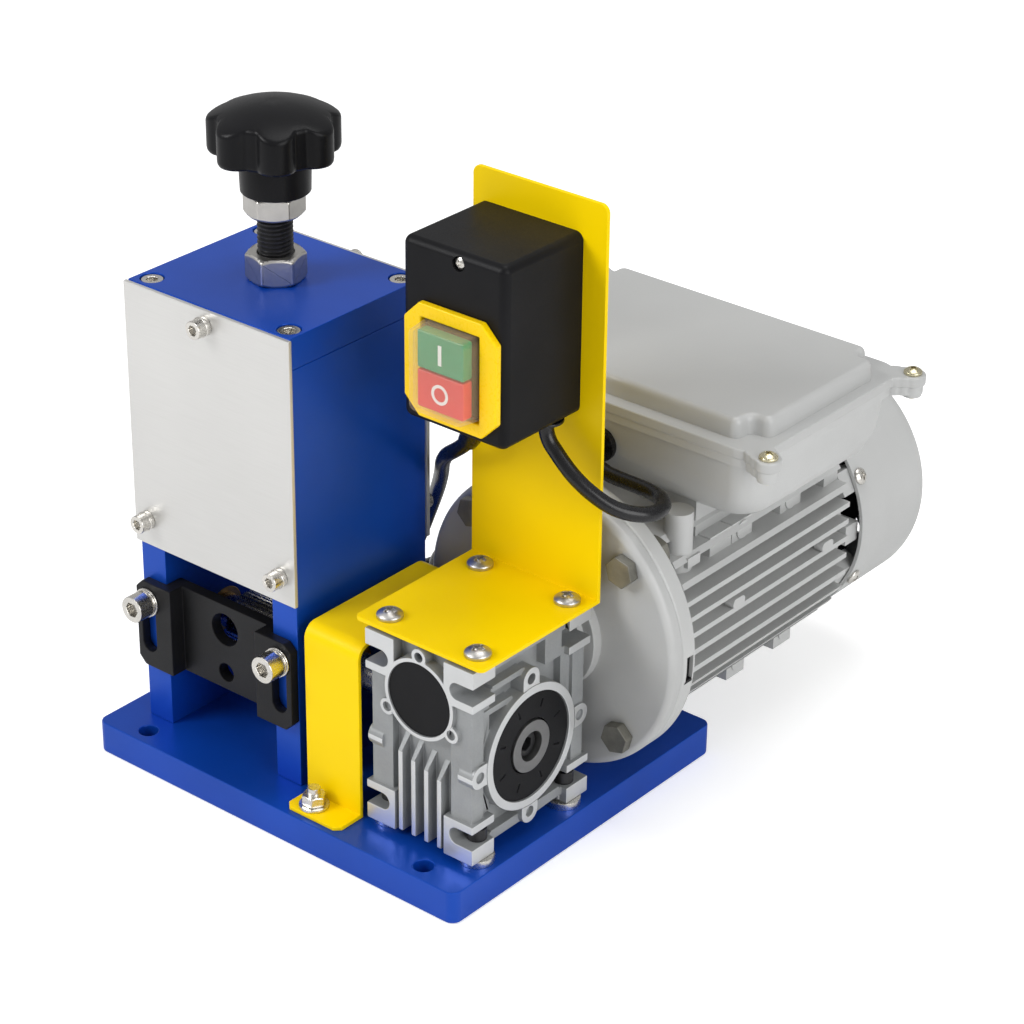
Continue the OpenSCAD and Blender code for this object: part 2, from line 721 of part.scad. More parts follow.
worm_turns = floor(worm_l / worm_pitch) - 1;
worm_thread_l = worm_turns * worm_pitch;
worm_tail = shaft_y + worm_thread_l / 2 + 4;
module worm() color("silver") translate([gearbox_x, 0, worm_z]) along_y() difference() {
    union() {
        translate([0, 0, shaft_y - worm_thread_l / 2]) worm_thread();
        for (z = [shaft_y - worm_thread_l / 2 - 4, shaft_y + worm_thread_l / 2])
            translate([0, 0, z]) cylinder(r = worm_root_r, h = 4);
        translate([0, 0, gearbox_front + 8]) cylinder(d = worm_front_d - 2 * run_gap,
            h = gearbox_d / 2 - worm_thread_l / 2 - 12);
        translate([0, 0, worm_tail])
            cylinder(d = worm_rear_d - 2 * run_gap, h = gearbox_rear - worm_tail);
    }
    translate([0, 0, gearbox_rear - 12]) cylinder(d = motor_shaft_d + 2 * seat_gap, h = 13);
}

// One right-hand thread: an offset round turned along the axis, with a gap towards the wheel at mid length
module worm_thread() {
    core = (worm_r + worm_root_r - 0.9) / 2;
    sides = 16;
    steps = 12 * worm_turns;
    rings = [
        for (i = [0 : steps], k = [0 : sides - 1])
            let (lead = 270 + 360 * worm_turns * (i / steps - 0.5), turn = -360 * k / sides)
                [(worm_r - core) * cos(lead) + core * cos(turn),
                    (worm_r - core) * sin(lead) + core * sin(turn), worm_thread_l * i / steps]
    ];
    ring_stack(rings, steps + 1, sides);
}

// Gearbox housing
block_w = 16.5;
block_d = 15;
block_h = 20;
seat_h = 8;
seat_reach = 13;
post_w = 12;
post_d = 8;
side_inset = 8;
end_inset = 6;
post_inset = 2;
output_ring_d = output_cover_d + 8;
output_lug_r = 34;
worm_ring_d = worm_cap_d + 4;
worm_lug_r = worm_cap_d / 2 + 3.5;
worm_lug_d = 8;

module gearbox_housing() color("#b4b6b8") translate([gearbox_x, shaft_y, gearbox_low]) difference() {
    union() {
        translate([-gearbox_w / 2 + side_inset, -gearbox_d / 2 + end_inset, 2])
            cube([gearbox_w - 2 * side_inset, gearbox_d - 2 * end_inset, gearbox_h - 4]);
        gearbox_posts();
        gearbox_fins();
        gearbox_ribs();
        translate([0, 0, output_h]) for (s = [-1, 1]) output_boss(s);
        translate([0, 0, output_h + centre_distance]) worm_boss();
    }
    gearbox_pockets();
    translate([0, 0, output_h]) along_x()
        cylinder(d = output_cover_d + 2 * seat_gap, h = 2 * gearbox_w, center = true);
    translate([0, 0, output_h + centre_distance]) worm_bores();
    translate([0, 0, -1]) four(foot_dx, foot_dy) cylinder(d = foot_bolt_d + 2 * run_gap, h = 12);
    translate([0, 0, gearbox_h - 12]) four(foot_dx, foot_dy)
        cylinder(d = foot_bolt_d + 2 * run_gap, h = 13);
}

module gearbox_posts() {
    for (z = [0, gearbox_h - block_h]) translate([0, 0, z])
        four(gearbox_w - block_w, gearbox_d - block_d) translate([-block_w / 2, -block_d / 2, 0])
            cube([block_w, block_d, block_h]);
    four(gearbox_w - post_w - 2 * post_inset, gearbox_d - post_d - 2 * post_inset)
        translate([-post_w / 2, -post_d / 2, 1]) cube([post_w, post_d, gearbox_h - 2]);
    four(gearbox_w - post_w - 4 * post_inset, gearbox_d - post_d - 8 * post_inset)
        translate([-post_w / 2, -post_d / 2, 1]) cube([post_w, post_d, gearbox_h - 2]);
}

// Rounded openings at the bolt seats, open to the sides
module gearbox_pockets()
    for (sx = [-1, 1], sy = [-1, 1], z = [foot_t + seat_h / 2, gearbox_h - foot_t - seat_h / 2])
    translate([sx * gearbox_w / 2, sy * (gearbox_d - block_d) / 2, z]) rotate([90, 0, 0])
        linear_extrude(block_d + 3, center = true) slot_2d(2 * seat_reach, seat_h);

// Upright fins with slanted tops on both ends, below the worm
module gearbox_fins() for (end = [0, 180], i = [-1.5 : 1.5]) rotate(end)
    translate([i * 7.4, -gearbox_d / 2 + end_inset + 1, 1]) rotate([90, 0, -90])
        linear_extrude(2.6, center = true)
        polygon([[0, 0], [6.5, 0], [6.5, 38 - 2 * i], [1, 46 - 2 * i], [0, 46 - 2 * i]]);

// Rails between the feet and under the top on both sides, with short shelves behind the front posts
rib_inset = 3;
module gearbox_ribs() {
    translate([-gearbox_w / 2 + rib_inset, -gearbox_d / 2 + end_inset, foot_t / 2])
        cube([gearbox_w - 2 * rib_inset, gearbox_d - 2 * end_inset, foot_t / 2 + 1]);
    translate([-gearbox_w / 2 + rib_inset, -gearbox_d / 2 + end_inset, gearbox_h - 7])
        cube([gearbox_w - 2 * rib_inset, gearbox_d - 2 * end_inset, 3.5]);
    for (shelf = [[17.5, 32], [28, 24]])
        translate([-gearbox_w / 2 + rib_inset, -gearbox_d / 2 + end_inset, gearbox_h - shelf[0]])
            cube([gearbox_w - 2 * rib_inset, shelf[1], 3]);
    translate([-gearbox_w / 2 + rib_inset, gearbox_d / 2 - end_inset - 22, gearbox_h - block_h])
        cube([gearbox_w - 2 * rib_inset, 22, block_h - 1]);
}

module output_boss(side) mirror([side < 0 ? 1 : 0, 0, 0]) difference() {
    union() {
        translate([gearbox_w / 2 - side_inset - 1, 0, 0]) along_x()
            cylinder(d = output_ring_d, h = side_inset + 1);
        for (a = [0 : 90 : 270]) rotate([a, 0, 0])
            translate([gearbox_w / 2 - side_inset - 1, output_lug_r, 0]) along_x() {
            cylinder(d = 11, h = side_inset + 0.5);
            translate([-5.5, -8, 0]) cube([11, 8, side_inset + 0.5]);
        }
    }
    for (a = [0 : 90 : 270]) rotate([a, 0, 0]) translate([gearbox_w / 2 - 10, output_lug_r, 0]) along_x()
        cylinder(d = 5, h = 12);
}

module worm_boss() for (end = [0, 180]) rotate(end) difference() {
    union() {
        translate([0, -gearbox_d / 2, 0]) along_y() cylinder(d = worm_ring_d, h = end_inset + 1);
        for (a = [0, 120, 240]) rotate([0, a, 0]) translate([0, -gearbox_d / 2, worm_lug_r]) along_y()
            cylinder(d = worm_lug_d, h = end_inset + 1);
    }
    for (a = [0, 120, 240]) rotate([0, a, 0]) translate([0, -gearbox_d / 2 - 1, worm_lug_r]) along_y()
        cylinder(d = worm_lug_d - 3.6, h = 7);
}

module worm_bores() along_y() {
    cylinder(d = worm_front_bearing[1] + 2 * seat_gap, h = gearbox_d + 2, center = true);
    translate([0, 0, -gearbox_d / 2 - 1]) cylinder(d = worm_cap_d + 2 * seat_gap, h = 5);
    translate([0, 0, gearbox_d / 2 - 13]) cylinder(d = worm_rear_bearing[1] + 2 * seat_gap, h = 14);
}

module worm_end_cap() color("#202124") translate([gearbox_x, gearbox_front, worm_z]) along_y()
    difference() {
    translate([0, 0, 0.8]) cylinder(d = worm_cap_d, h = 3.2);
    translate([0, 0, 2.5]) cylinder(d = worm_cap_d - 6, h = 3);
}

// Black covers that carry the output bearings
output_cover_t = 14;
module output_covers() color("#202124") for (s = [-1, 1])
    translate([gearbox_x + s * (gearbox_w / 2 - 1), shaft_y, shaft_z]) rotate([0, -90 * s, 0])
        difference() {
        cylinder(d = output_cover_d, h = output_cover_t);
        translate([0, 0, -1]) cylinder(d = hollow_shaft_d + 1, h = output_cover_t + 2);
        translate([0, 0, output_cover_t - output_bearing[2]])
            cylinder(d = output_bearing[1] + 2 * seat_gap, h = output_bearing[2] + 1);
        for (i = [0 : 7]) rotate(45 * i + 22.5) translate([20, 0, 0]) cube([4, 1, 1.2], center = true);
    }

module ball_bearings() color("lightsteelblue") {
    for (s = [-1, 1])
        translate([gearbox_x + s * (gearbox_w / 2 - 1 - output_cover_t + output_bearing[2] / 2),
            shaft_y, shaft_z])
            along_x() bearing(output_bearing);
    translate([gearbox_x, gearbox_front + 13, worm_z]) along_y() bearing(worm_front_bearing);
    translate([gearbox_x, gearbox_rear - 13 + worm_rear_bearing[2] / 2, worm_z]) along_y()
        bearing(worm_rear_bearing);
    for (y = [front_bearing_y, rear_bearing_y]) translate([gearbox_x, y, worm_z]) along_y()
        bearing(motor_bearing);
}

module gearbox_bolts() color("#3a3b3d") translate([gearbox_x, shaft_y, 0]) four(foot_dx, foot_dy) {
    translate([0, 0, gearbox_low + foot_t]) cap_screw(foot_bolt_d, foot_t + foot_washer_t + 10, 9, 6);
    translate([0, 0, base_t]) ring(16, foot_bolt_d + 2 * seat_gap, foot_washer_t);
}

// Flanges, with the axis of the worm as their own z axis and the gearbox end at zero
module on_motor_axis(y) translate([gearbox_x, y, worm_z]) along_y() children();
module flange_corners() for (a = [45 : 90 : 315]) rotate(a) translate([flange_pcd / 2, 0, 0]) children();

module input_flange() color("#a9abad") on_motor_axis(gearbox_rear) difference() {
    union() {
        rotate_extrude($fn = 96) {
            square([flange_neck_r, flange_reach]);
            translate([0, flange_neck_l]) square([flange_hub_r, flange_reach - flange_neck_l]);
            translate([0, flange_reach - flange_t]) square([flange_d / 2 - flange_edge_r, flange_t]);
            translate([0, flange_reach - flange_t / 2]) square([flange_d / 2, flange_t / 2]);
            translate([flange_d / 2 - flange_edge_r, flange_reach - flange_t / 2]) circle(flange_edge_r);
        }
        flange_corners() translate([0, 0, flange_reach - flange_t + land_step])
            cylinder(d = flange_bolt_land, h = flange_t - 2 * land_step);
    }
    translate([0, 0, -1]) cylinder(d = 30, h = flange_reach + 2);
    translate([0, 0, flange_reach - 4]) cylinder(d = 95, h = 5);
    flange_corners() cylinder(d = flange_bolt_d + 2 * run_gap, h = 3 * flange_reach, center = true);
}

front_bearing_y = mate_y + 13;
rear_bearing_y = frame_rear + 2;

module motor_flange() color("#b4b6b8") on_motor_axis(mate_y) difference() {
    union() {
        rotate_extrude($fn = 96) {
            translate([0, -3]) square([47, 12]);
            square([flange_d / 2 - 2, motor_flange_t]);
            translate([0, 2]) square([flange_d / 2, motor_flange_t - 4]);
            translate([flange_d / 2 - 2, 2]) circle(2);
            translate([flange_d / 2 - 2, motor_flange_t - 2]) circle(2);
            square([core_r + 3, frame_front - mate_y]);
            square([bore_r - seat_gap, frame_front - mate_y + 5]);
        }
        flange_corners() translate([0, 0, land_step])
            cylinder(d = flange_bolt_land, h = motor_flange_t - 2 * land_step);
    }
    translate([0, 0, -4]) cylinder(d = motor_bearing[0] + 4, h = 40);
    translate([0, 0, front_bearing_y - mate_y - motor_bearing[2] / 2])
        cylinder(d = motor_bearing[1] + 2 * seat_gap, h = 30);
    flange_corners() cylinder(d = flange_bolt_d + 2 * run_gap, h = 60, center = true);
    rotate(2) translate([flange_d / 2 - 2, -6, 3]) cube([4, 12, 4.5]);
}

module flange_bolts() color("#8a8466") flange_bolt_sets();
module flange_bolt_sets() on_motor_axis(mate_y) flange_corners() {
    translate([0, 0, -flange_t - 5.3]) cylinder(d = 13 / cos(30), h = 5.3, $fn = 6);
    translate([0, 0, -flange_t - 1]) cylinder(d = flange_bolt_d, h = flange_t + motor_flange_t + 9);
    translate([0, 0, motor_flange_t]) hex_nut(13, flange_bolt_d - eps, 6.5);
}

// Motor frame: a round core with level side fins and foot lugs, bored for the stator
module motor_frame() color("#b4b6b8") on_motor_axis(frame_front) difference() {
    union() {
        linear_extrude(motor_frame_l) {
            circle(core_r, $fn = 96);
            intersection() {
                circle(fin_reach + 4.5, $fn = 96);
                for (i = [-5 : 5]) translate([0, i * fin_pitch])
                    square([2 * fin_reach, fin_t], center = true);
            }
            for (i = [-1.5 : 1.5]) translate([i * fin_pitch, core_r])
                square([fin_t, 2 * (fin_reach - core_r)], center = true);
        }
        translate([-42, -(box_low - worm_z), 26]) cube([84, box_low - worm_z - 20, 77]);
        frame_pads();
    }
    translate([0, 0, -1]) cylinder(r = bore_r, h = motor_frame_l + 2, $fn = 96);
    translate([0, -(box_low - worm_z) + 10, motor_frame_l / 2]) rotate([90, 0, 0])
        cylinder(d = 18, h = 40);
}

// Pads cast on at the shoulders and below, each given by its start and its length along the frame
shoulder_pads = [[28, 16], [44.5, 15.5], [82, 16], [motor_frame_l - 11, 11]];
low_pads = [[70, 14], [motor_frame_l - 20, 14]];
pad_reach = 49;
module frame_pads() for (s = [0, 1]) mirror([s, 0, 0]) {
    for (p = shoulder_pads) translate([pad_reach - 20, -38, p[0]]) cube([20, 14, p[1]]);
    for (p = [shoulder_pads[1], shoulder_pads[2]]) translate([pad_reach - 1, -33, p[0] + p[1] / 2])
        along_x()
        cylinder(d = 9, h = 1.8);
    for (p = low_pads) translate([16, core_r - 12, p[0]]) {
        cube([16, fin_reach + 4.5 - core_r + 12, p[1]]);
        translate([15, 19, p[1] / 2]) along_x() cylinder(d = 7, h = 1.8);
    }
    for (z = [40, motor_frame_l - 18]) hull() for (d = [-2, 2])
        translate([fin_reach - 4, -0.4 * fin_pitch, z + d])
        along_x() cylinder(d = 5, h = 5);
    translate([pad_reach - 15, -36, 9]) cube([17, 5, 9]);
    translate([pad_reach - 6, -28, 12]) rotate([90, 0, 0]) cylinder(d = 13, h = 29);
}

module motor_rear_shield() color("#9c9ea0") on_motor_axis(frame_rear) difference() {
    boss_r = cowl_d / 2 - cowl_wall - seat_gap;
    union() {
        linear_extrude(5) {
            circle(core_r + 2, $fn = 96);
            for (a = cowl_angles) rotate(a) translate([0, -6]) square([boss_r - 0.5, 12]);
        }
        translate([0, 0, -4]) cylinder(r = bore_r - seat_gap, h = 5, $fn = 96);
        cylinder(d = motor_bearing[1] + 8, h = 9);
        for (a = cowl_angles) rotate(a) translate([boss_r - 10, -6, 4]) cube([9.5, 12, cowl_gap + 4]);
        for (a = [0 : 90 : 270]) rotate(a) translate([core_r - 4, -5, 0])
            cube([boss_r - core_r + 2, 10, cowl_gap + 2]);
    }
    translate([0, 0, -5]) cylinder(d = motor_bearing[0] + 3, h = 20);
    translate([0, 0, rear_bearing_y - frame_rear - motor_bearing[2] / 2])
        cylinder(d = motor_bearing[1] + 2 * seat_gap, h = motor_bearing[2]);
    for (a = cowl_angles) rotate(a) translate([boss_r - 12, 0, cowl_gap + 4]) along_x()
        cylinder(d = 4 + 2 * run_gap, h = 20);
}

module stator() color("#7c5a3a") on_motor_axis(stator_mid) {
    translate([0, 0, -stator_l / 2]) ring(2 * (bore_r - seat_gap), 2 * rotor_r + 1.2, stator_l, $fn = 96);
    for (s = [-1, 1]) translate([0, 0, s * (stator_l / 2 + 7) - 7]) rotate_extrude($fn = 96)
        translate([35, 7]) rounded_rect(11, 14.2, 4);
}

module rotor() color("silver") on_motor_axis(0) {
    translate([0, 0, mate_y - 23]) cylinder(d = motor_shaft_d, h = 24);
    translate([0, 0, mate_y - 1])
        cylinder(d = motor_bearing[0] - 2 * run_gap, h = rear_bearing_y + 8 - mate_y);
    translate([0, 0, rear_bearing_y + 6]) cylinder(d = 12, h = cowl_front + 30 - rear_bearing_y);
    translate([0, 0, stator_mid - stator_l / 2]) cylinder(r = rotor_r, h = stator_l, $fn = 96);
    for (s = [-1, 1]) translate([0, 0, stator_mid + s * (stator_l / 2 + 4) - 4])
        cylinder(r = rotor_r - 4, h = 8);
}

fan_d = 94;
module cooling_fan() color("#2b2c2e") on_motor_axis(cowl_front + 12) {
    ring(26, 12 + 2 * seat_gap, 20);
    ring(fan_d, 24, 2.5);
    for (i = [0 : 5]) rotate(60 * i) translate([12, -1.2, 0]) cube([fan_d / 2 - 12, 2.4, 18]);
}

cowl_wall = 2;
cowl_angles = [26.5, 153.5, 206.5, 333.5];
cowl_edge_r = 12;
module fan_cowl() color("#c2c4c6") on_motor_axis(cowl_front) difference() {
    rotate_extrude($fn = 96) difference() {
        cowl_profile(cowl_d / 2, cowl_l, cowl_edge_r);
        translate([0, -1]) cowl_profile(cowl_d / 2 - cowl_wall, cowl_l - cowl_wall + 1,
            cowl_edge_r - cowl_wall);
    }
    for (i = [0 : 11], ringno = [0 : 2]) rotate(30 * i + 15 * ringno)
        translate([14 + 12 * ringno, 0, cowl_l - 5])
        linear_extrude(10) slot_2d(9, 4.4);
    for (a = cowl_angles) rotate(a) translate([cowl_d / 2 - 6, 0, 4]) along_x()
        cylinder(d = 4 + 2 * run_gap, h = 12);
}

module cowl_profile(r, l, edge) {
    square([r - edge, l]);
    square([r, l - edge]);
    translate([r - edge, l - edge]) circle(edge);
}

module cowl_screws() color("silver") on_motor_axis(cowl_front + 4) for (a = cowl_angles) rotate(a)
    translate([cowl_d / 2 + seat_gap, 0, 0]) along_x() pan_screw(4, 8, 8, 2.6);

// Terminal box on the motor, with its lid and the run capacitor
module terminal_box() color("#b9bbbc") translate([gearbox_x, box_y, box_low]) difference() {
    union() {
        box_form(0);
        translate([0, 0, box_h - 4]) linear_extrude(4) lid_outline(2);
        four(lug_dx, lug_dy) translate([0, 0, box_h - 12]) cylinder(d = 9, h = 10);
    }
    translate([0, 0, box_wall]) box_form(box_wall);
    translate([0, 0, box_h - 11]) four(lug_dx, lug_dy) cylinder(d = lid_screw_d + 2 * run_gap, h = 12);
    translate([motor_entry.x - gearbox_x, -lid_d, motor_entry.z - box_low]) along_y()
        cylinder(d = grommet_d, h = lid_d);
    translate([0, 0, -1]) cylinder(d = 18, h = 10);
}

// Box with upright walls that curve in towards the foot, or its hollow with a wall of t
module box_form(t) hull() for (step = [[0, 1], [0.08, 0.65], [0.2, 0.35], [0.45, 0.12], [1, 0]]) {
    draw_in = 2 * (step[1] * box_taper + t);
    translate([0, 0, step[0] * (box_h - eps)]) linear_extrude(eps)
        rounded_rect(lid_w - 6 - draw_in, lid_d - 6 - draw_in, 14 - t, $fn = 32);
}

// Outline of the lid with its screw lugs, drawn in by t
module lid_outline(t) {
    rounded_rect(lid_w - t, lid_d - t, 14);
    four(lug_dx, lug_dy) circle(d = 12 - t);
    four(lug_dx - 7, lug_dy - 4) circle(d = 13 - t);
    four(lug_dx - 14, lug_dy - 8) circle(d = 14 - t);
}

module terminal_lid() color("#c6c8c9") translate([gearbox_x, box_y, box_top]) difference() {
    union() {
        linear_extrude(lid_rim_t) lid_outline(0);
        difference() {
            lid_crown(0);
            lid_notches(0);
        }
    }
    translate([0, 0, -eps]) linear_extrude(lid_rim_t - 2) rounded_rect(lid_w - 14, lid_d - 14, 8);
    difference() {
        lid_crown(2.5);
        lid_notches(2.5);
    }
    translate([0, 0, -1]) four(lug_dx, lug_dy) cylinder(d = lid_screw_d + 2 * run_gap, h = lid_rim_t + 2);
}

// Raised middle of the lid with a rounded brim, or the hollow under it with a wall of t
module lid_crown(t) hull() for (step = [[0, 0], [0.9, 0.62], [0.97, 0.86], [1, 1.6]])
    translate([0, 0, lid_rim_t - (t > 0 ? 2.2 : 0.2)
        + step[0] * lid_rise - (t > 0 ? t * step[0] - 0.1 : 0)])
        linear_extrude(0.2) rounded_rect(lid_w - 12 - 2 * t - 3 * step[1],
            lid_d - 14 - 2 * t - 3 * step[1], 9, $fn = 32);

// Corners taken out of the raised middle for the screws, grown by t
module lid_notches(t) translate([0, 0, lid_rim_t]) four(lid_w - 12, lid_d - 14)
    translate([0, 0, t > 0 ? -3 : 0]) linear_extrude(lid_rise + 6)
        rounded_rect(20 + 2 * t, 20 + 2 * t, 4);

module lid_screws() color("khaki") translate([gearbox_x, box_y, box_top + lid_rim_t]) four(lug_dx, lug_dy)
    pan_screw(lid_screw_d, 12, 8.5, 3);

capacitor_d = 34;
capacitor_l = 70;
capacitor_cap_t = 2;
module capacitor() color("#e8e8e4")
    translate([gearbox_x - 42, box_y + 20, box_low + box_wall + capacitor_d / 2 + seat_gap])
    along_x() {
        cylinder(d = capacitor_d, h = capacitor_l);
        translate([0, 0, capacitor_l - 1]) cylinder(d = capacitor_d * 0.82, h = capacitor_cap_t + 1);
    }

// Yellow sheet metal
module switch_bracket() color("gold") difference() {
    union() {
        translate([bracket_x, (bracket_front + bracket_back) / 2, bracket_low]) linear_extrude(sheet_t)
            difference() {
            rounded_rect(bracket_w, bracket_back - bracket_front, 3);
            translate([-bracket_w, (bracket_back - bracket_front) / 2 - 4]) square([2 * bracket_w, 5]);
        }
        translate([bracket_x - bracket_w / 2, bracket_back - sheet_t, bracket_low])
            cube([bracket_w, sheet_t, bracket_h - 6]);
        translate([bracket_x, bracket_back, bracket_low + bracket_h / 2]) rotate([90, 0, 0])
            linear_extrude(sheet_t) rounded_rect(bracket_w, bracket_h, 4);
        translate([bracket_x - bracket_w / 2, bracket_back - 6, bracket_low])
            cube([bracket_w, 6, sheet_t]);
    }
    translate([gearbox_x, shaft_y, bracket_low - 1]) four(foot_dx, foot_dy)
        cylinder(d = foot_bolt_d + 2 * run_gap, h = sheet_t + 2);
}

module bracket_screws() color("silver") translate([gearbox_x, shaft_y, 0]) four(foot_dx, foot_dy) {
    translate([0, 0, bracket_low + sheet_t])
        pan_screw(foot_bolt_d, sheet_t + bracket_spacer_t + 8, 12, 4.2);
    translate([0, 0, gearbox_top]) ring(10, foot_bolt_d + 2 * seat_gap, bracket_spacer_t);
}

module guard_studs() for (y = [guard_front - guard_foot / 2, guard_back + guard_foot / 2])
    translate([guard_stud_x, y, base_t]) children();

// Shaft guard: one bent sheet over the feed shaft, with a foot in front and one behind
module shaft_guard() color("gold") difference() {
    translate([guard_x, 0, base_t]) rotate([90, 0, 90]) linear_extrude(guard_w, center = true)
        guard_profile();
    guard_studs() cylinder(d = guard_stud_d + 2 * run_gap, h = 3 * base_t, center = true);
    for (s = [-1, 1]) translate([guard_x + s * guard_w / 2, guard_front - guard_foot, base_t]) rotate(45)
        cube([4, 4, 3 * sheet_t], center = true);
}

module guard_profile() {
    translate([guard_front - guard_foot, 0]) square([guard_foot + sheet_t, sheet_t]);
    translate([guard_back - sheet_t, 0]) square([guard_foot + sheet_t, sheet_t]);
    difference() {
        guard_arch(0);
        guard_arch(sheet_t);
    }
}

// Outline under the bent sheet, drawn in by t
module guard_arch(t) {
    bend = guard_bend_r - t;
    translate([guard_front + t, -t]) square([guard_back - guard_front - 2 * t, guard_h - bend]);
    translate([guard_front + t + bend, -t]) square([guard_back - guard_front - 2 * (t + bend), guard_h]);
    for (y = [guard_front + guard_bend_r, guard_back - guard_bend_r])
        translate([y, guard_h - guard_bend_r]) circle(bend);
}

module guard_nuts() color("silver") guard_studs() {
    translate([0, 0, -10]) cylinder(d = guard_stud_d, h = 22);
    translate([0, 0, sheet_t]) ring(14, guard_stud_d - eps, 1.5);
    translate([0, 0, sheet_t + 1.5]) hex_nut(10, guard_stud_d - eps, 5);
}

// Switch box on the upright, its bezel, buttons and clear boot
grommet_d = lead_d + 5;
motor_entry = motor_lead_route[len(motor_lead_route) - 1];

module switch_box() color("#1d1e20") difference() {
    edge = 4;
    hull() for (sx = [-1, 1], sz = [0, 1]) translate([switch_x + sx * (switch_w / 2 - edge), 0,
        switch_z + edge + sz * (switch_h - 2 * edge)]) {
        translate([0, switch_face + edge, 0]) sphere(edge, $fn = 24);
        translate([0, switch_back - 1, 0]) along_y() cylinder(r = edge, h = 1, $fn = 24);
    }
    translate([switch_x - switch_w / 2 + switch_wall, switch_face + 3, switch_z + 3])
        cube([switch_w - 2 * switch_wall, switch_d - 5.5, switch_h - 6]);
    translate([button_x, switch_face, button_z]) cube([boot_w - 1, 20, boot_h - 1], center = true);
    for (r = [motor_lead_route[0], mains_lead_route[0]]) translate([r.x, r.y, switch_z])
        cylinder(d = grommet_d, h = 12, center = true);
    translate([button_x + 1.6, switch_face - 1, switch_z + switch_h - 5]) along_y() {
        cylinder(d = 6.5, h = 3);
        cylinder(d = 3.2, h = 12);
    }
}

module switch_screw() color("silver")
    translate([button_x + 1.6, switch_face + 2, switch_z + switch_h - 5]) rotate([90, 0, 0])
    pan_screw(3.1, 8, 6, 1.6);

module switch_module() color("#3a3b3d") difference() {
    translate([button_x - boot_w / 2 + 0.8, switch_face, button_z - boot_h / 2 + 0.8])
        cube([boot_w - 1.6, switch_d - 3, boot_h - 1.6]);
    for (s = [-1, 1]) translate([button_x, switch_face, button_z + s * (button_h + button_gap) / 2])
        cube([10 + 2 * slide_gap, 50, 8 + 2 * slide_gap], center = true);
}

module switch_escutcheon() color("yellow") translate([button_x, switch_face, button_z])
    rotate([90, 0, 0]) linear_extrude(escutcheon_t)
    difference() {
        half_w = 25;
        half_h = 26;
        cut = 8;
        polygon([[-half_w + cut, -half_h], [half_w - cut, -half_h], [half_w, -half_h + cut],
            [half_w, half_h - cut],
            [half_w - cut, half_h], [-half_w + cut, half_h], [-half_w, half_h - cut],
                [-half_w, -half_h + cut]]);
        square([boot_w + 2 * seat_gap, boot_h + 2 * seat_gap], center = true);
    }

module switch_boot() color([0.85, 0.9, 0.92, 0.45]) translate([button_x, switch_face, button_z])
    rotate([90, 0, 0]) difference() {
    loft(boot_w, boot_h, boot_w - 2, boot_h - 2, boot_reach, 3);
    translate([0, 0, -1])
        loft(boot_w - 2 * boot_wall, boot_h - 2 * boot_wall, boot_w - 2 - 2 * boot_wall,
            boot_h - 2 - 2 * boot_wall,
        boot_reach - boot_wall + 1, 2);
}

module push_button(side)
    translate([button_x, button_back, button_z + side * (button_h + button_gap) / 2]) {
    translate([-button_w / 2, -button_cap_t, -button_h / 2]) cube([button_w, button_cap_t, button_h]);
    translate([-5, -1, -4]) cube([10, 15, 8]);
}

module start_button() color("seagreen") push_button(1);
module stop_button() color("crimson") push_button(-1);

// Leads and what they pass through; the relief covers the first part of the mains lead
box_wall_y = box_y - lid_d / 2 + 3.9;
mains_run = smooth_route(mains_lead_route, 2);
relief_route = concat([mains_run[0] + [0, 0, 0.7]], [for (i = [1 : 8]) mains_run[i]]);
module lead_grommets() color("#18191b") {
    for (r = [motor_lead_route[0], mains_lead_route[0]]) translate([r.x, r.y, r.z]) {
        ring(grommet_d - 2 * seat_gap, lead_d, switch_z + 3 - r.z);
        ring(grommet_d + 4, lead_d, switch_z - r.z);
    }
    translate([motor_entry.x, box_wall_y, motor_entry.z]) along_y() {
        translate([0, 0, -3]) ring(grommet_d - 2 * seat_gap, lead_d, 12);
        translate([0, 0, -3]) ring(grommet_d + 4, lead_d, 3);
    }
    difference() {
        taper(relief_route, 6.5, 4.6, 16, [1, 0.5, 0]);
        tube(concat([mains_run[0] + [0, 0, 2]], mains_run), lead_d / 2 + seat_gap, 10, [1, 0.5, 0]);
    }
}

module motor_lead() color("#141416")
    tube(smooth_route(motor_lead_route, 2), lead_d / 2, 10, [0.7, -0.7, 1]);
module mains_lead() color("#141416") tube(mains_run, lead_d / 2, 10, [1, 0.5, 0]);
module mains_coil() color("#141416") tube(coil_points, lead_d / 2, 6, [0, 0, 1]);

plug_start = coil_last + [lead_d, 0, 0];
module mains_plug() color("#141416") translate(plug_start) along_x() {
    cylinder(d1 = lead_d + 2, d2 = lead_d + 8, h = 24);
    translate([0, 0, 24]) loft(19, 24, 22, 27, 32, 5);
    for (s = [-1, 1]) translate([-3.2, s * 6.35 - 0.75, 55]) cube([6.4, 1.5, 18]);
}

base_plate();
left_side_wall();
right_side_wall();
top_plate();
wall_screws();
front_cover();
rear_cover();
cover_screws();
guide_screws();
shaft_bushes();
shaft_guard();
guard_nuts();
gearbox_housing();
worm_end_cap();
output_covers();
ball_bearings();
input_flange();
flange_bolts();
gearbox_bolts();
switch_bracket();
bracket_screws();
switch_box();
switch_module();
switch_escutcheon();
switch_boot();
switch_screw();
lead_grommets();
motor_lead();
mains_lead();
mains_coil();
mains_plug();
motor_frame();
motor_flange();
motor_rear_shield();
stator();
fan_cowl();
cowl_screws();
terminal_box();
terminal_lid();
lid_screws();
capacitor();
rotor();
cooling_fan();
worm();
worm_wheel();
output_shaft();
feed_shaft();
feed_roller();
shaft_screw();
blade_carriage();
blade_axle();
blade_wheel();
adjusting_screw();
jam_nut();
knob();
lock_nut();
wire_guide();
start_button();
stop_button();
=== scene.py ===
"""Looks of a bench wire stripper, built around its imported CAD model."""

import json
import math

import bmesh
import bpy
from mathutils import Matrix, Vector


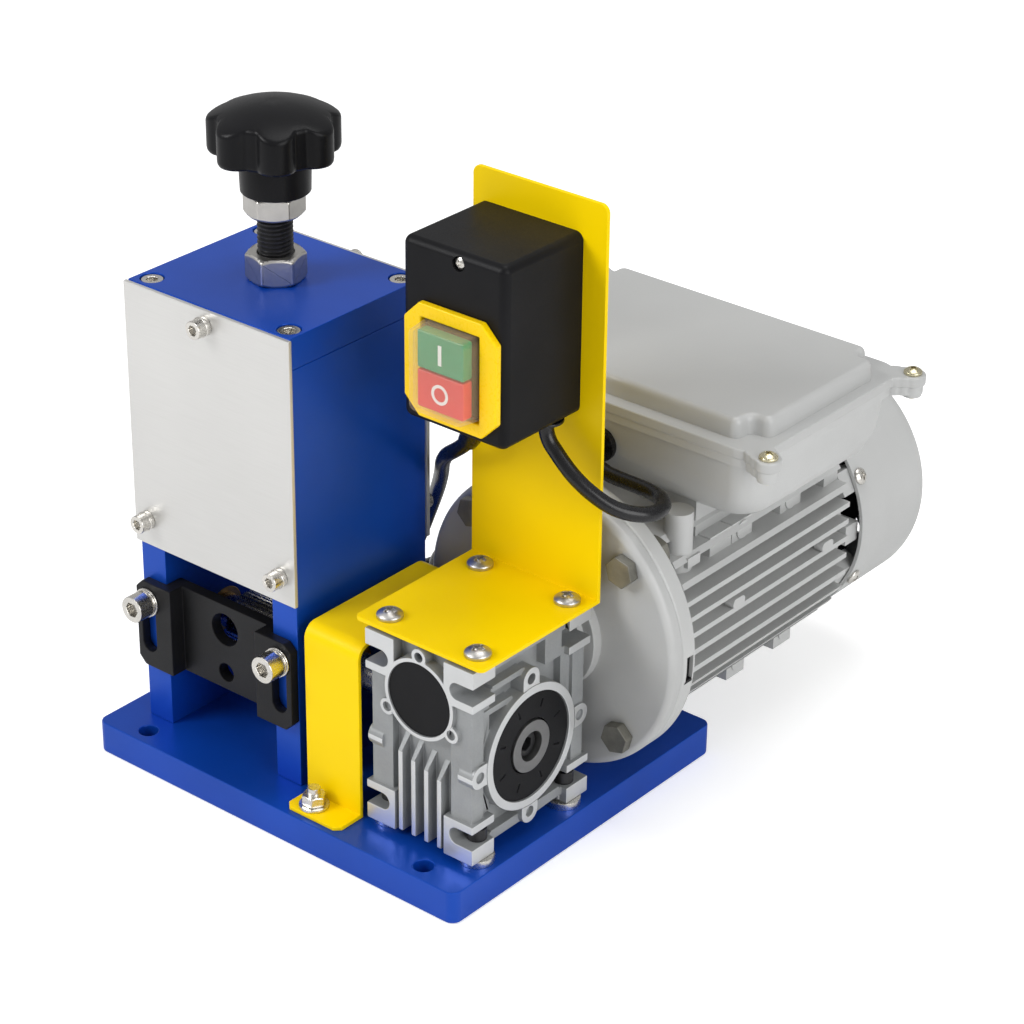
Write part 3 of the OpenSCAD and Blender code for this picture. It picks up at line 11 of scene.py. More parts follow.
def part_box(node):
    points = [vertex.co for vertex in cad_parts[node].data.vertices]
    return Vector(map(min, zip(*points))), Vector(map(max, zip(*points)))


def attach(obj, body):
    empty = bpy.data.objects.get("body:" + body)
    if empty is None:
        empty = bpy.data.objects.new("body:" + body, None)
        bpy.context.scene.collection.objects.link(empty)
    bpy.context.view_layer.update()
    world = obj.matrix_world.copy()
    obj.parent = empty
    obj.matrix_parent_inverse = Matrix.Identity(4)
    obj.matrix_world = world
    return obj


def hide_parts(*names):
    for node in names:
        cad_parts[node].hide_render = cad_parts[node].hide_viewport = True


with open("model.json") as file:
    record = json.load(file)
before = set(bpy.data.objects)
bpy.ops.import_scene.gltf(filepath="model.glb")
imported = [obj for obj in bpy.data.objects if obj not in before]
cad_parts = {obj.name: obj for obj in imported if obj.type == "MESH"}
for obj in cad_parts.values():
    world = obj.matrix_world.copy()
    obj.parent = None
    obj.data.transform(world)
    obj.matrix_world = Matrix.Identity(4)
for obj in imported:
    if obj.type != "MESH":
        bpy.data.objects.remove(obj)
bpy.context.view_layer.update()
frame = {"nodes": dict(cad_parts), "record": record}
NODES = frame["nodes"]
BODIES = frame["record"]["behaviour"]["bodies"]
BODY_OF = {node: body for body, members in BODIES.items() for node in members}
MM = 0.001

bl_info = {
    "name": "Wire stripper looks",
    "version": (1, 0, 0),
    "blender": (4, 5, 0),
    "location": "3D View > Sidebar > Wire stripper",
    "description": "Dresses the CAD model of a bench wire stripper",
    "category": "Object",
}


class StripperColours(bpy.types.PropertyGroup):
    """Colours of the finishes"""

    blue: bpy.props.FloatVectorProperty(
        name="Blue",
        description="Anodised plates of base and head",
        subtype="COLOR",
        default=(0.003, 0.06, 0.42),
    )
    yellow: bpy.props.FloatVectorProperty(
        name="Yellow",
        description="Painted sheet of bracket and guard",
        subtype="COLOR",
        default=(0.92, 0.64, 0.0),
    )
    motor_grey: bpy.props.FloatVectorProperty(
        name="Motor grey",
        description="Paint of motor and terminal box",
        subtype="COLOR",
        default=(0.48, 0.485, 0.48),
    )
    cast_grey: bpy.props.FloatVectorProperty(
        name="Cast grey",
        description="Bare casting of the gearbox",
        subtype="COLOR",
        default=(0.29, 0.3, 0.305),
    )
    black: bpy.props.FloatVectorProperty(
        name="Black", description="Moulded plastic", subtype="COLOR", default=(0.006, 0.006, 0.007)
    )
    start: bpy.props.FloatVectorProperty(
        name="Start", description="Start button", subtype="COLOR", default=(0.005, 0.27, 0.12)
    )
    stop: bpy.props.FloatVectorProperty(
        name="Stop", description="Stop button", subtype="COLOR", default=(0.7, 0.012, 0.03)
    )
    floor: bpy.props.FloatVectorProperty(
        name="Floor",
        description="Floor under the machine",
        subtype="COLOR",
        default=(0.9, 0.9, 0.9),
    )


class StripperSizes(bpy.types.PropertyGroup):
    """Sizes of what the scene adds to the solids"""

    lead: bpy.props.FloatProperty(
        name="Lead", description="Diameter of the leads", default=7 * MM, unit="LENGTH"
    )
    thread_pitch: bpy.props.FloatProperty(
        name="Thread pitch",
        description="Pitch of the adjusting screw",
        default=2 * MM,
        unit="LENGTH",
    )
    thread_depth: bpy.props.FloatProperty(
        name="Thread depth",
        description="Depth of that thread",
        default=1.05 * MM,
        unit="LENGTH",
    )
    mark: bpy.props.FloatProperty(
        name="Button mark",
        description="Height of the marks on the buttons",
        default=9 * MM,
        unit="LENGTH",
    )
    lens: bpy.props.FloatProperty(
        name="Lens", description="Focal length of the camera in millimetres", default=108.92
    )


# Materials


def new_finish(name):
    """An empty material with its shader and the object's own coordinates."""
    material = bpy.data.materials.new(name)
    material.use_nodes = True
    tree = material.node_tree
    shader = tree.nodes["Principled BSDF"]
    coords = tree.nodes.new("ShaderNodeTexCoord").outputs["Object"]
    return material, tree, shader, coords


def noise(tree, coords, scale, stretch=(1, 1, 1), detail=3.0):
    """Noise with about scale grains in a metre, drawn out along an axis by stretch."""
    mapping = tree.nodes.new("ShaderNodeMapping")
    mapping.inputs["Scale"].default_value = stretch
    tree.links.new(coords, mapping.inputs["Vector"])
    texture = tree.nodes.new("ShaderNodeTexNoise")
    texture.inputs["Scale"].default_value = scale
    texture.inputs["Detail"].default_value = detail
    tree.links.new(mapping.outputs["Vector"], texture.inputs["Vector"])
    return texture.outputs["Fac"]


# Most of a noise lies between these two values
NOISE_LOW, NOISE_HIGH = 0.3, 0.7


def spread(tree, value, low, high):
    """Maps the middle of a noise to low to high."""
    node = tree.nodes.new("ShaderNodeMapRange")
    node.inputs["From Min"].default_value = NOISE_LOW
    node.inputs["From Max"].default_value = NOISE_HIGH
    node.inputs["To Min"].default_value = low
    node.inputs["To Max"].default_value = high
    tree.links.new(value, node.inputs["Value"])
    return node.outputs["Result"]


def tinted(tree, shader, value, colour, low, high):
    """Base colour that wanders between two shades of one colour."""
    mix = tree.nodes.new("ShaderNodeMix")
    mix.data_type = "RGBA"
    mix.inputs["A"].default_value = (*[c * low for c in colour], 1)
    mix.inputs["B"].default_value = (*[min(1, c * high) for c in colour], 1)
    tree.links.new(value, mix.inputs["Factor"])
    tree.links.new(mix.outputs["Result"], shader.inputs["Base Color"])


def bumped(tree, shader, value, strength, distance):
    """Raises and lowers the surface by a noise."""
    bump = tree.nodes.new("ShaderNodeBump")
    bump.inputs["Strength"].default_value = strength
    bump.inputs["Distance"].default_value = distance
    tree.links.new(value, bump.inputs["Height"])
    tree.links.new(bump.outputs["Normal"], shader.inputs["Normal"])


def finish(
    name,
    colour,
    metallic=0.0,
    rough=(0.35, 0.5),
    tint=(0.93, 1.06),
    cloud=30,
    grain=1400,
    stretch=(1, 1, 1),
    bump=0.1,
    depth=0.0001,
    coat=0.0,
    specular=0.5,
):
    """A finish with clouded colour, uneven gloss and a fine grain."""
    material, tree, shader, coords = new_finish(name)
    shader.inputs["Metallic"].default_value = metallic
    shader.inputs["Coat Weight"].default_value = coat
    shader.inputs["Coat Roughness"].default_value = 0.12
    shader.inputs["Specular IOR Level"].default_value = specular
    tinted(tree, shader, spread(tree, noise(tree, coords, cloud), 0, 1), colour, *tint)
    fine = noise(tree, coords, grain, stretch, detail=5.0)
    tree.links.new(spread(tree, fine, *rough), shader.inputs["Roughness"])
    bumped(tree, shader, fine, bump, depth)
    return material


def clear_finish(name):
    """Clear soft plastic, barely seen face on and paler at a slant: a painted highlight along its
    walls, in an amber that paints the reflection of the yellow escutcheon.
    """
    material, tree, shader, coords = new_finish(name)
    # Amber base colour: painted reflection of the yellow escutcheon
    shader.inputs["Base Color"].default_value = (0.75, 0.6, 0.42, 1)
    shader.inputs["Specular IOR Level"].default_value = 0.5
    # Alpha rising at a slant: painted highlight along the walls of the boot
    slant = tree.nodes.new("ShaderNodeLayerWeight")
    slant.inputs["Blend"].default_value = 0.35
    veil = tree.nodes.new("ShaderNodeMapRange")
    veil.inputs["To Min"].default_value = 0.02
    veil.inputs["To Max"].default_value = 0.4
    tree.links.new(slant.outputs["Facing"], veil.inputs["Value"])
    tree.links.new(veil.outputs["Result"], shader.inputs["Alpha"])
    fine = noise(tree, coords, scale=120)
    tree.links.new(spread(tree, fine, low=0.06, high=0.14), shader.inputs["Roughness"])
    bumped(tree, shader, fine, strength=0.04, distance=0.0002)
    return material


def make_finishes(colours):
    """Every finish of the machine by the name that the pieces use."""
    black = tuple(colours.black)
    grey = tuple(colours.motor_grey)
    # Motor grey dimmed to 0.92 as painted shade, for the flange face and the lid
    painted_shade_grey = tuple(c * 0.92 for c in grey)
    return {
        "blue_paint": finish(
            "blue_anodised", tuple(colours.blue), metallic=0.35, rough=(0.28, 0.42),
            tint=(0.9, 1.1), cloud=18, grain=2600, bump=0.08, specular=0.35,
        ),
        "yellow_paint": finish(
            "yellow_enamel", tuple(colours.yellow), rough=(0.34, 0.46),
            tint=(0.96, 1.03), cloud=14, grain=700, bump=0.05, specular=0.12,
        ),
        "cover_steel": finish(
            "brushed_sheet", (0.66, 0.655, 0.64), metallic=0.8, rough=(0.34, 0.52),
            tint=(0.96, 1.03), cloud=9, grain=900, stretch=(0.05, 1, 1.6), bump=0.09,
        ),
        "bright_steel": finish(
            "bright_zinc", (0.66, 0.64, 0.6), metallic=1.0, rough=(0.2, 0.34),
            tint=(0.9, 1.06), cloud=90, grain=1800, bump=0.03,
        ),
        "satin_zinc": finish(
            "satin_zinc", (0.52, 0.505, 0.48), metallic=1.0, rough=(0.3, 0.42),
            tint=(0.92, 1.05), cloud=90, grain=1200, bump=0.02,
        ),
        "turned_steel": finish(
            "turned_steel", (0.2, 0.2, 0.2), metallic=0.9, rough=(0.3, 0.45),
            tint=(0.9, 1.08), cloud=60, grain=1500, stretch=(1, 0.3, 0.3), bump=0.05,
        ),
        "milled_alloy": finish(
            "milled_alloy", (0.6, 0.61, 0.615), metallic=0.6, rough=(0.3, 0.45),
            tint=(0.94, 1.04), cloud=40, grain=1500, stretch=(0.2, 1, 1), bump=0.06,
        ),
        "dull_steel": finish(
            "passivated_zinc", (0.19, 0.185, 0.16), metallic=0.7, rough=(0.42, 0.58),
            tint=(0.75, 1.15), cloud=120, grain=1500, bump=0.08,
        ),
        "warm_zinc": finish(
            "warm_zinc", (0.62, 0.57, 0.4), metallic=1.0, rough=(0.18, 0.34),
            tint=(0.85, 1.08), cloud=110, grain=1700, bump=0.06,
        ),
        "black_oxide": finish(
            "black_oxide", (0.035, 0.035, 0.037), metallic=0.75, rough=(0.3, 0.48),
            tint=(0.8, 1.2), cloud=80, grain=1500, bump=0.08,
        ),
        "bronze": finish(
            "bronze", (0.5, 0.3, 0.11), metallic=1.0, rough=(0.25, 0.45),
            tint=(0.9, 1.08), cloud=60, grain=1600, bump=0.06,
        ),
        "cast_alloy": finish(
            "die_cast", tuple(colours.cast_grey), metallic=0.35, rough=(0.38, 0.58),
            tint=(0.9, 1.08), cloud=60, grain=1100, bump=0.22, depth=0.00015,
        ),
        # Painted shade: the flange in the dimmed motor grey
        "flange_paint_with_painted_shade": finish(
            "flange_paint_with_painted_shade", painted_shade_grey, metallic=0.1, rough=(0.4, 0.55),
            tint=(0.92, 1.05), cloud=26, grain=900, bump=0.16,
        ),
        "grey_paint": finish(
            "motor_paint", grey, metallic=0.08, rough=(0.36, 0.5),
            tint=(0.95, 1.04), cloud=22, grain=1000, bump=0.12,
        ),
        # Painted shade: the lid in the dimmed motor grey, with its own gloss and coat
        "lid_paint_with_painted_shade": finish(
            "lid_paint_with_painted_shade", painted_shade_grey, rough=(0.3, 0.42),
            tint=(0.97, 1.03), cloud=16, grain=900, bump=0.07, coat=0.1,
        ),
        "black_plastic": finish(
            "moulded_black", black, rough=(0.36, 0.48),
            tint=(0.8, 1.3), cloud=30, grain=2400, bump=0.14, depth=0.00008, specular=0.12,
        ),
        "knob_plastic": finish(
            "knob_black", black, rough=(0.28, 0.38),
            tint=(0.8, 1.3), cloud=40, grain=1500, bump=0.06, specular=0.13,
        ),
        "black_steel": finish(
            "blackened_steel", (0.009, 0.009, 0.01), metallic=0.2, rough=(0.36, 0.5),
            tint=(0.8, 1.3), cloud=35, grain=1700, bump=0.12, specular=0.25,
        ),
        "yellow_plastic": finish(
            "yellow_plastic", (0.92, 0.6, 0.0), rough=(0.24, 0.34),
            tint=(0.97, 1.03), cloud=20, grain=600, bump=0.02, specular=0.25,
        ),
        "clear_boot": clear_finish("clear_boot"),
        "black_rubber": finish(
            "rubber", (0.004, 0.004, 0.005), rough=(0.22, 0.32),
            tint=(0.8, 1.3), cloud=60, grain=2000, bump=0.06, specular=0.4,
        ),
        "stator_core": finish(
            "laminations", (0.2, 0.14, 0.1), metallic=0.6, rough=(0.4, 0.6),
            tint=(0.85, 1.1), cloud=50, grain=1500, stretch=(1, 0.04, 1), bump=0.2,
        ),
        "white_plastic": finish(
            "capacitor_can", (0.8, 0.8, 0.78), rough=(0.3, 0.45), grain=900, bump=0.05
        ),
        "green_plastic": finish(
            "start_green", tuple(colours.start), rough=(0.25, 0.38),
            tint=(0.95, 1.05), cloud=40, grain=900, bump=0.04,
        ),
        "red_plastic": finish(
            "stop_red", tuple(colours.stop), rough=(0.25, 0.38),
            tint=(0.95, 1.05), cloud=40, grain=900, bump=0.04,
        ),
        "mark_white": finish(
            "mark_white", (0.85, 0.85, 0.84), rough=(0.35, 0.5), grain=900, bump=0.03
        ),
    }


# Filled by the first operator
FINISHES = {}


# Pieces

# Gap between vertices that are one, slant between faces that are one, and room for broken edges
MERGE_GAP = 2e-6
FLAT_ANGLE = math.radians(0.6)
EDGE_ROOM = 0.3 * MM


def weigh_normals(mesh, limit):
    """Normals led by the large faces, so that flat faces shade flat beside rounded edges."""
    around = [[] for _ in mesh.vertices]
    for face in mesh.polygons:
        for v in face.vertices:
            around[v].append(face.index)
    normals = [face.normal.copy() for face in mesh.polygons]
    areas = [face.area for face in mesh.polygons]
    corners = []
    for face in mesh.polygons:
        own = normals[face.index]
        for v in face.vertices:
            total = Vector((0, 0, 0))
            for other in around[v]:
                if normals[other].dot(own) > limit:
                    total += normals[other] * areas[other]
            corners.append(total.normalized() if total.length > 0 else own)
    mesh.normals_split_custom_set(corners)


def as_piece(name, bm, body, material, replaced=(), sharp=32.0):
    """Makes a bmesh a piece of the object, in its place, riding on a body.

    Its shading breaks where faces meet at more than sharp degrees.
    """
    mesh = bpy.data.meshes.new(name)
    bm.to_mesh(mesh)
    bm.free()
    for polygon in mesh.polygons:
        polygon.use_smooth = True
    weigh_normals(mesh, math.cos(math.radians(sharp)))
    mesh.materials.append(material)
    piece = bpy.data.objects.new(name, mesh)
    bpy.context.scene.collection.objects.link(piece)
    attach(piece, body)
    if replaced:
        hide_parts(*replaced)
    return piece


def merged_copy(node):
    """The node's own solid as a bmesh with its flat faces whole."""
    bm = bmesh.new()
    bm.from_mesh(NODES[node].data)
    bmesh.ops.remove_doubles(bm, verts=bm.verts, dist=MERGE_GAP)
    bmesh.ops.dissolve_limit(
        bm,
        angle_limit=FLAT_ANGLE,
        use_dissolve_boundaries=False,
        verts=bm.verts,
        edges=bm.edges,
    )
    return bm


def break_edges(bm, width, segments, angle):
    """Rounds every edge that is sharper than angle, in degrees."""
    limit = math.radians(angle)
    edges = [e for e in bm.edges if len(e.link_faces) == 2 and e.calc_face_angle(0) > limit]
    if not edges or width <= 0:
        return
    bmesh.ops.bevel(
        bm,
        geom=edges,
        offset=width,
        offset_type="OFFSET",
        affect="EDGES",
        segments=segments,
        profile=0.5,
        material=-1,
        clamp_overlap=False,
        miter_outer="SHARP",
    )


def inside(bm, low, high, room):
    """Whether every vertex stays in a box with some room round it."""
    return all(low[i] - room <= v.co[i] <= high[i] + room for v in bm.verts for i in range(3))


def dressed(node, finish_name, width_mm=0.4, segments=2, angle=35.0, sharp=32.0):
    """A CAD node in a finish, with its sharp edges broken where that leaves it in its box."""
    bm = merged_copy(node)
    low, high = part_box(node)
    if width_mm > 0:
        break_edges(bm, width_mm * MM, segments, angle)
        if not inside(bm, low, high, EDGE_ROOM):
            bm.free()
            bm = merged_copy(node)
    return as_piece(
        node + "_piece", bm, BODY_OF[node], FINISHES[finish_name], [node], sharp
    )


def dress_all(rows):
    """Dresses rows of node, finish, width of its broken edges in mm and their segments.

    Gives the pieces by node.
    """
    return {row[0]: dressed(*row) for row in rows}


def second_finish(piece, finish_name, chosen):
    """Gives the faces that chosen picks by middle and normal another finish."""
    mesh = piece.data
    mesh.materials.append(FINISHES[finish_name])
    for face in mesh.polygons:
        if chosen(face.center, face.normal):
            face.material_index = len(mesh.materials) - 1


def paint_node(node, finish_name):
    """Gives a CAD node that stays a finish."""
    NODES[node].data.materials.clear()
    NODES[node].data.materials.append(FINISHES[finish_name])


# Leads

# Routes of the two leads as in the CAD model, in millimetres
MOTOR_LEAD = [
    (88, -8, 204.5), (88.5, -8, 199.5), (90.5, -8, 195), (94, -8, 191.5), (99, -8.5, 187.5),
    (105, -8.5, 183), (112, -6.5, 177.5), (119.5, -2.5, 172), (126, 3.5, 168.5), (130, 11, 166.5),
    (130, 19.5, 165.5), (125.5, 26.5, 165), (117.5, 30.5, 164.5), (108.5, 31.5, 164.5),
    (98, 31.5, 164.5), (89.5, 32, 165), (82, 34.5, 166), (77, 40, 167), (75, 47.5, 168),
]
MAINS_LEAD = [
    (54, -12, 204.5), (53.5, -12, 198), (52, -11.5, 192), (49.5, -10.5, 186.5), (46, -9.5, 181.5),
    (41.5, -8, 177), (36, -6, 172.5), (29.5, -2.5, 167.5), (22, 3.5, 161), (13.5, 11.5, 152),
    (4.5, 21, 140), (-7, 31.5, 124), (-20.5, 41, 103.5), (-37, 51.5, 78), (-54.5, 63, 55),
    (-72, 77, 38.5), (-86, 91, 28), (-96, 104, 19), (-102, 118, 11), (-105, 132, 5.5),
    (-105, 142, 3.6), (-105, 150, 3.6),
]
# Coil of the mains lead, in millimetres: two layers of turns, with half a turn to climb between
COIL_CENTRE = (-54, 157)
COIL_OUTER = 51
COIL_PITCH = 7.6
COIL_TURNS = 6.25
COIL_CLIMB = 0.5
COIL_LOW = 3.6
COIL_STEPS = 48


def smooth_route(points, steps):
    """Points along a smooth curve through the points given, in metres."""
    p = [Vector(q) * MM for q in points]
    last = len(p) - 1
    route = []
    for i in range(last):
        a, b, c, d = p[max(i - 1, 0)], p[i], p[i + 1], p[min(i + 2, last)]
        for k in range(steps):
            t = k / steps
            square = (2 * a - 5 * b + 4 * c - d) * t**2
            cube = (3 * b - a - 3 * c + d) * t**3
            route.append(0.5 * (2 * b + (c - a) * t + square + cube))
    return route + [p[last]]


def coil_point(turn):
    """Point of the coil after so many turns, in metres."""
    half = COIL_TURNS / 2
    spread_r = COIL_OUTER - COIL_PITCH * (turn if turn < half else COIL_TURNS - turn)
    rise = COIL_PITCH * min(max((turn - half + COIL_CLIMB / 2) / COIL_CLIMB, 0), 1)
    angle = 2 * math.pi * turn
    return MM * Vector(
        (
            COIL_CENTRE[0] - spread_r * math.cos(angle),
            COIL_CENTRE[1] + spread_r * math.sin(angle),
            COIL_LOW + rise,
        )
    )


def lead_curve(name, points, diameter, body, replaced):
    """A round lead along points, as one open curve."""
    curve = bpy.data.curves.new(name, "CURVE")
    curve.dimensions = "3D"
    curve.bevel_depth = diameter / 2
    curve.bevel_resolution = 4
    curve.use_fill_caps = True
    spline = curve.splines.new("POLY")
    spline.points.add(len(points) - 1)
    for point, place in zip(spline.points, points):
        point.co = (*place, 1)
    spline.use_smooth = True
    curve.materials.append(FINISHES["black_rubber"])
    lead = bpy.data.objects.new(name, curve)
    bpy.context.scene.collection.objects.link(lead)
    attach(lead, body)
    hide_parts(*replaced)
    return lead


class STRIPPER_OT_finishes(bpy.types.Operator):
    """Makes the finishes that the pieces share"""

    bl_idname = "stripper.finishes"
    bl_label = "Finishes"

    def execute(self, context):
        FINISHES.update(make_finishes(context.scene.stripper_colours))
        return {"FINISHED"}


# Stage

# Camera by azimuth, elevation and roll in degrees, and its place in its own axes, in metres
CAMERA_TURN = (39.40, 28.00, -0.64)
CAMERA_PLACE = (0.05033, 0.1120, 1.4604)
# Light of the world on the pieces, what the camera sees of it, and what gloss adds
WORLD_LEVEL, WORLD_SEEN, WORLD_GLOSS = 0.32, 1.0, 0.2
# Lamps by name, place, size and power, and the point that they face
LAMPS = (
    ("key", (-0.9, -1.5, 1.4), 0.9, 28),
    ("fill", (1.7, -0.3, 0.8), 1.2, 18),
    ("top", (0.2, 0.3, 1.9), 1.2, 14),
)
LAMP_TARGET = Vector((0.03, 0.03, 0.12))
# Half the floor's side, how far it lies under the machine, and its glow
FLOOR_HALF, FLOOR_DROP, FLOOR_GLOW = 6, 0.0005, 0.45


class STRIPPER_OT_stage(bpy.types.Operator):
    """Sets the camera, the soft light and the pale floor"""

    bl_idname = "stripper.stage"
    bl_label = "Stage"

    def execute(self, context):
        scene = context.scene
        scene.view_settings.view_transform = "Standard"
        azimuth, elevation, roll = map(math.radians, CAMERA_TURN)
        back = Vector(
            (
                math.sin(azimuth) * math.cos(elevation),
                -math.cos(azimuth) * math.cos(elevation),
                math.sin(elevation),
            )
        )
        right = Vector((math.cos(azimuth), math.sin(azimuth), 0))
        up = back.cross(right)
        turned_right = math.cos(roll) * right - math.sin(roll) * up
        turned_up = math.sin(roll) * right + math.cos(roll) * up
        axes = Matrix((turned_right, turned_up, back)).transposed()
        data = bpy.data.cameras.new("camera")
        data.lens = scene.stripper_sizes.lens
        data.sensor_width = 36
        camera = bpy.data.objects.new("camera", data)
        camera.matrix_world = Matrix.Translation(axes @ Vector(CAMERA_PLACE)) @ axes.to_4x4()
        scene.collection.objects.link(camera)
        scene.camera = camera
        self.light(scene)
        self.floor(scene)
        return {"FINISHED"}

    def light(self, scene):
        """Lights the scene evenly, white to the camera, and hangs the lamps."""
        world = bpy.data.worlds.new("studio")
        world.use_nodes = True
        tree = world.node_tree
        ground = tree.nodes["Background"]
        path = tree.nodes.new("ShaderNodeLightPath")
        seen = tree.nodes.new("ShaderNodeMath")
        seen.operation = "MAXIMUM"
        tree.links.new(path.outputs["Is Camera Ray"], seen.inputs[0])
        tree.links.new(path.outputs["Is Transmission Ray"], seen.inputs[1])
        level = tree.nodes.new("ShaderNodeMapRange")
        level.inputs["To Min"].default_value = WORLD_LEVEL
        level.inputs["To Max"].default_value = WORLD_SEEN
        tree.links.new(seen.outputs[0], level.inputs["Value"])
        gloss = tree.nodes.new("ShaderNodeMath")
        gloss.operation = "MULTIPLY_ADD"
        gloss.inputs[1].default_value = WORLD_GLOSS
        tree.links.new(path.outputs["Is Glossy Ray"], gloss.inputs[0])
        tree.links.new(level.outputs["Result"], gloss.inputs[2])
        tree.links.new(gloss.outputs[0], ground.inputs["Strength"])
        ground.inputs["Color"].default_value = (1, 1, 1, 1)
        scene.world = world
        for name, place, size, power in LAMPS:
            data = bpy.data.lights.new(name, "AREA")
            data.size = size
            data.energy = power
            lamp = bpy.data.objects.new(name, data)
            lamp.location = place
            facing = LAMP_TARGET - Vector(place)
            lamp.rotation_euler = facing.to_track_quat("-Z", "Y").to_euler()
            scene.collection.objects.link(lamp)

    def pale(self, colour):
        """Matt white that glows a little where the camera sees it, so that shadows stay light."""
        material, tree, shader, coords = new_finish("floor")
        tinted(tree, shader, spread(tree, noise(tree, coords, 2), 0, 1), colour, 0.99, 1.01)
        shader.inputs["Roughness"].default_value = 0.7
        shader.inputs["Specular IOR Level"].default_value = 0.1
        shader.inputs["Emission Color"].default_value = (1, 1, 1, 1)
        glow = tree.nodes.new("ShaderNodeMath")
        glow.operation = "MULTIPLY"
        glow.inputs[1].default_value = FLOOR_GLOW
        path = tree.nodes.new("ShaderNodeLightPath")
        tree.links.new(path.outputs["Is Camera Ray"], glow.inputs[0])
        tree.links.new(glow.outputs[0], shader.inputs["Emission Strength"])
        return material

    def floor(self, scene):
        """A wide pale floor just under the machine."""
        bm = bmesh.new()
        bmesh.ops.create_grid(bm, x_segments=1, y_segments=1, size=FLOOR_HALF)
        mesh = bpy.data.meshes.new("floor")
        bm.to_mesh(mesh)
        bm.free()
        mesh.materials.append(self.pale(tuple(scene.stripper_colours.floor)))
        floor = bpy.data.objects.new("floor", mesh)
        floor.location.z = -FLOOR_DROP
        scene.collection.objects.link(floor)


class STRIPPER_OT_leads(bpy.types.Operator):
    """Lays the motor lead and the mains lead with its coil and plug"""

    bl_idname = "stripper.leads"
    bl_label = "Leads"

    def execute(self, context):
        diameter = context.scene.stripper_sizes.lead
        route = smooth_route(MOTOR_LEAD, 6)
        lead = lead_curve("motor_lead_piece", route, diameter, "frame", ["motor_lead"])
        plug = dressed("mains_plug", "black_rubber", 0.8)
        turns = [coil_point(i / COIL_STEPS) for i in range(int(COIL_TURNS * COIL_STEPS) + 1)]
        tail = turns[-1] + Vector((diameter, 0, 0))
        route = smooth_route(MAINS_LEAD, 5) + turns[1:] + [tail]
        lead = lead_curve(
            "mains_lead_piece", route, diameter, "frame", ["mains_lead", "mains_coil"]
        )
        tie = self.tie()
        dressed("lead_grommets", "black_rubber", 0.5)
        return {"FINISHED"}

    def tie(self):
        """A flat strap round the turns of the coil."""
        width, reach, height = 9 * MM, 34 * MM, 16.4 * MM
        corner_r, thickness, middle_z = 4 * MM, 0.9 * MM, 9.0
        turns_middle = COIL_OUTER - COIL_PITCH * COIL_TURNS / 4
        bm = bmesh.new()
        bmesh.ops.create_cube(bm, size=1)
        bmesh.ops.scale(bm, vec=(width, reach, height), verts=bm.verts)
        ends = [f for f in bm.faces if abs(f.normal.x) > 0.5]
        bmesh.ops.delete(bm, geom=ends, context="FACES")
        around = [e for e in bm.edges if abs((e.verts[0].co - e.verts[1].co).x) < 1e-6]
        bmesh.ops.subdivide_edges(bm, edges=around, cuts=3, use_grid_fill=True)
        corners = [e for e in bm.edges if len(e.link_faces) == 2 and e.calc_face_angle(0) > 0.5]
        bmesh.ops.bevel(
            bm, geom=corners, offset=corner_r, affect="EDGES", segments=4, profile=0.5, material=-1
        )
        bmesh.ops.recalc_face_normals(bm, faces=bm.faces)
        bmesh.ops.solidify(bm, geom=bm.faces, thickness=-thickness)
        place = MM * Vector((COIL_CENTRE[0], COIL_CENTRE[1] + turns_middle, middle_z))
        bmesh.ops.translate(bm, vec=place, verts=bm.verts)
        return as_piece("coil_tie", bm, "frame", FINISHES["black_plastic"])


class STRIPPER_OT_head(bpy.types.Operator):
    """Dresses the base plate and the head with its covers and screws"""

    bl_idname = "stripper.head"
    bl_label = "Base and head"

    def execute(self, context):
        dress_all(
            [
                ("base_plate", "blue_paint", 0.8),
                ("left_side_wall", "blue_paint", 0.5),
                ("right_side_wall", "blue_paint", 0.5),
                ("top_plate", "blue_paint", 0.5),
                ("front_cover", "cover_steel", 0.35),
                ("rear_cover", "cover_steel", 0.35),
                ("wall_screws", "bright_steel", 0.4),
                ("cover_screws", "bright_steel", 0.5),
                ("shaft_bushes", "bronze", 0.4),
            ]
        )
        return {"FINISHED"}


class STRIPPER_OT_guide(bpy.types.Operator):
    """Dresses the wire guide and its screws"""

    bl_idname = "stripper.guide"
    bl_label = "Wire guide"

    def execute(self, context):
        dress_all([("wire_guide", "black_steel", 0.6), ("guide_screws", "bright_steel", 0.5)])
        return {"FINISHED"}


# Star knob, in millimetres: its lobes, the web between them and the dome that its top is cut from
KNOB_LOBES = 7
KNOB_LOBE_R = 8.33
KNOB_TURN = math.radians(7)
KNOB_REACH = 29.75
KNOB_WEB = KNOB_REACH - 5.2
KNOB_SOFT = 0.2
KNOB_HUB_R = 16.0
KNOB_DOME_TOP, KNOB_DOME_R = 41.0, 58.0
# Rings from the bore out to the rim: radius, height and how far the ring follows the lobes
KNOB_UNDER = (
    (8.1, 0, 0),
    (KNOB_HUB_R - 1.1, 0, 0),
    (KNOB_HUB_R - 0.5, 0.6, 0),
    (KNOB_HUB_R - 0.1, 14.5, 0),
    (KNOB_HUB_R + 0.6, 16.4, 0.1),
    (KNOB_REACH - 2.2, 16.8, 1),
    (KNOB_REACH - 0.9, 17.2, 1),
    (KNOB_REACH - 0.25, 18.2, 1),
    (KNOB_REACH, 19.6, 1),
)
# Rings from the rim in over the top: radius and drop below the dome
KNOB_TOP = (
    (KNOB_REACH, 1.9),
    (KNOB_REACH - 0.2, 1.0),
    (KNOB_REACH - 0.7, 0.35),
    (KNOB_REACH - 1.7, 0.02),
    *((KNOB_REACH * share, 0) for share in (0.84, 0.7, 0.55, 0.4, 0.25, 0.1)),
)


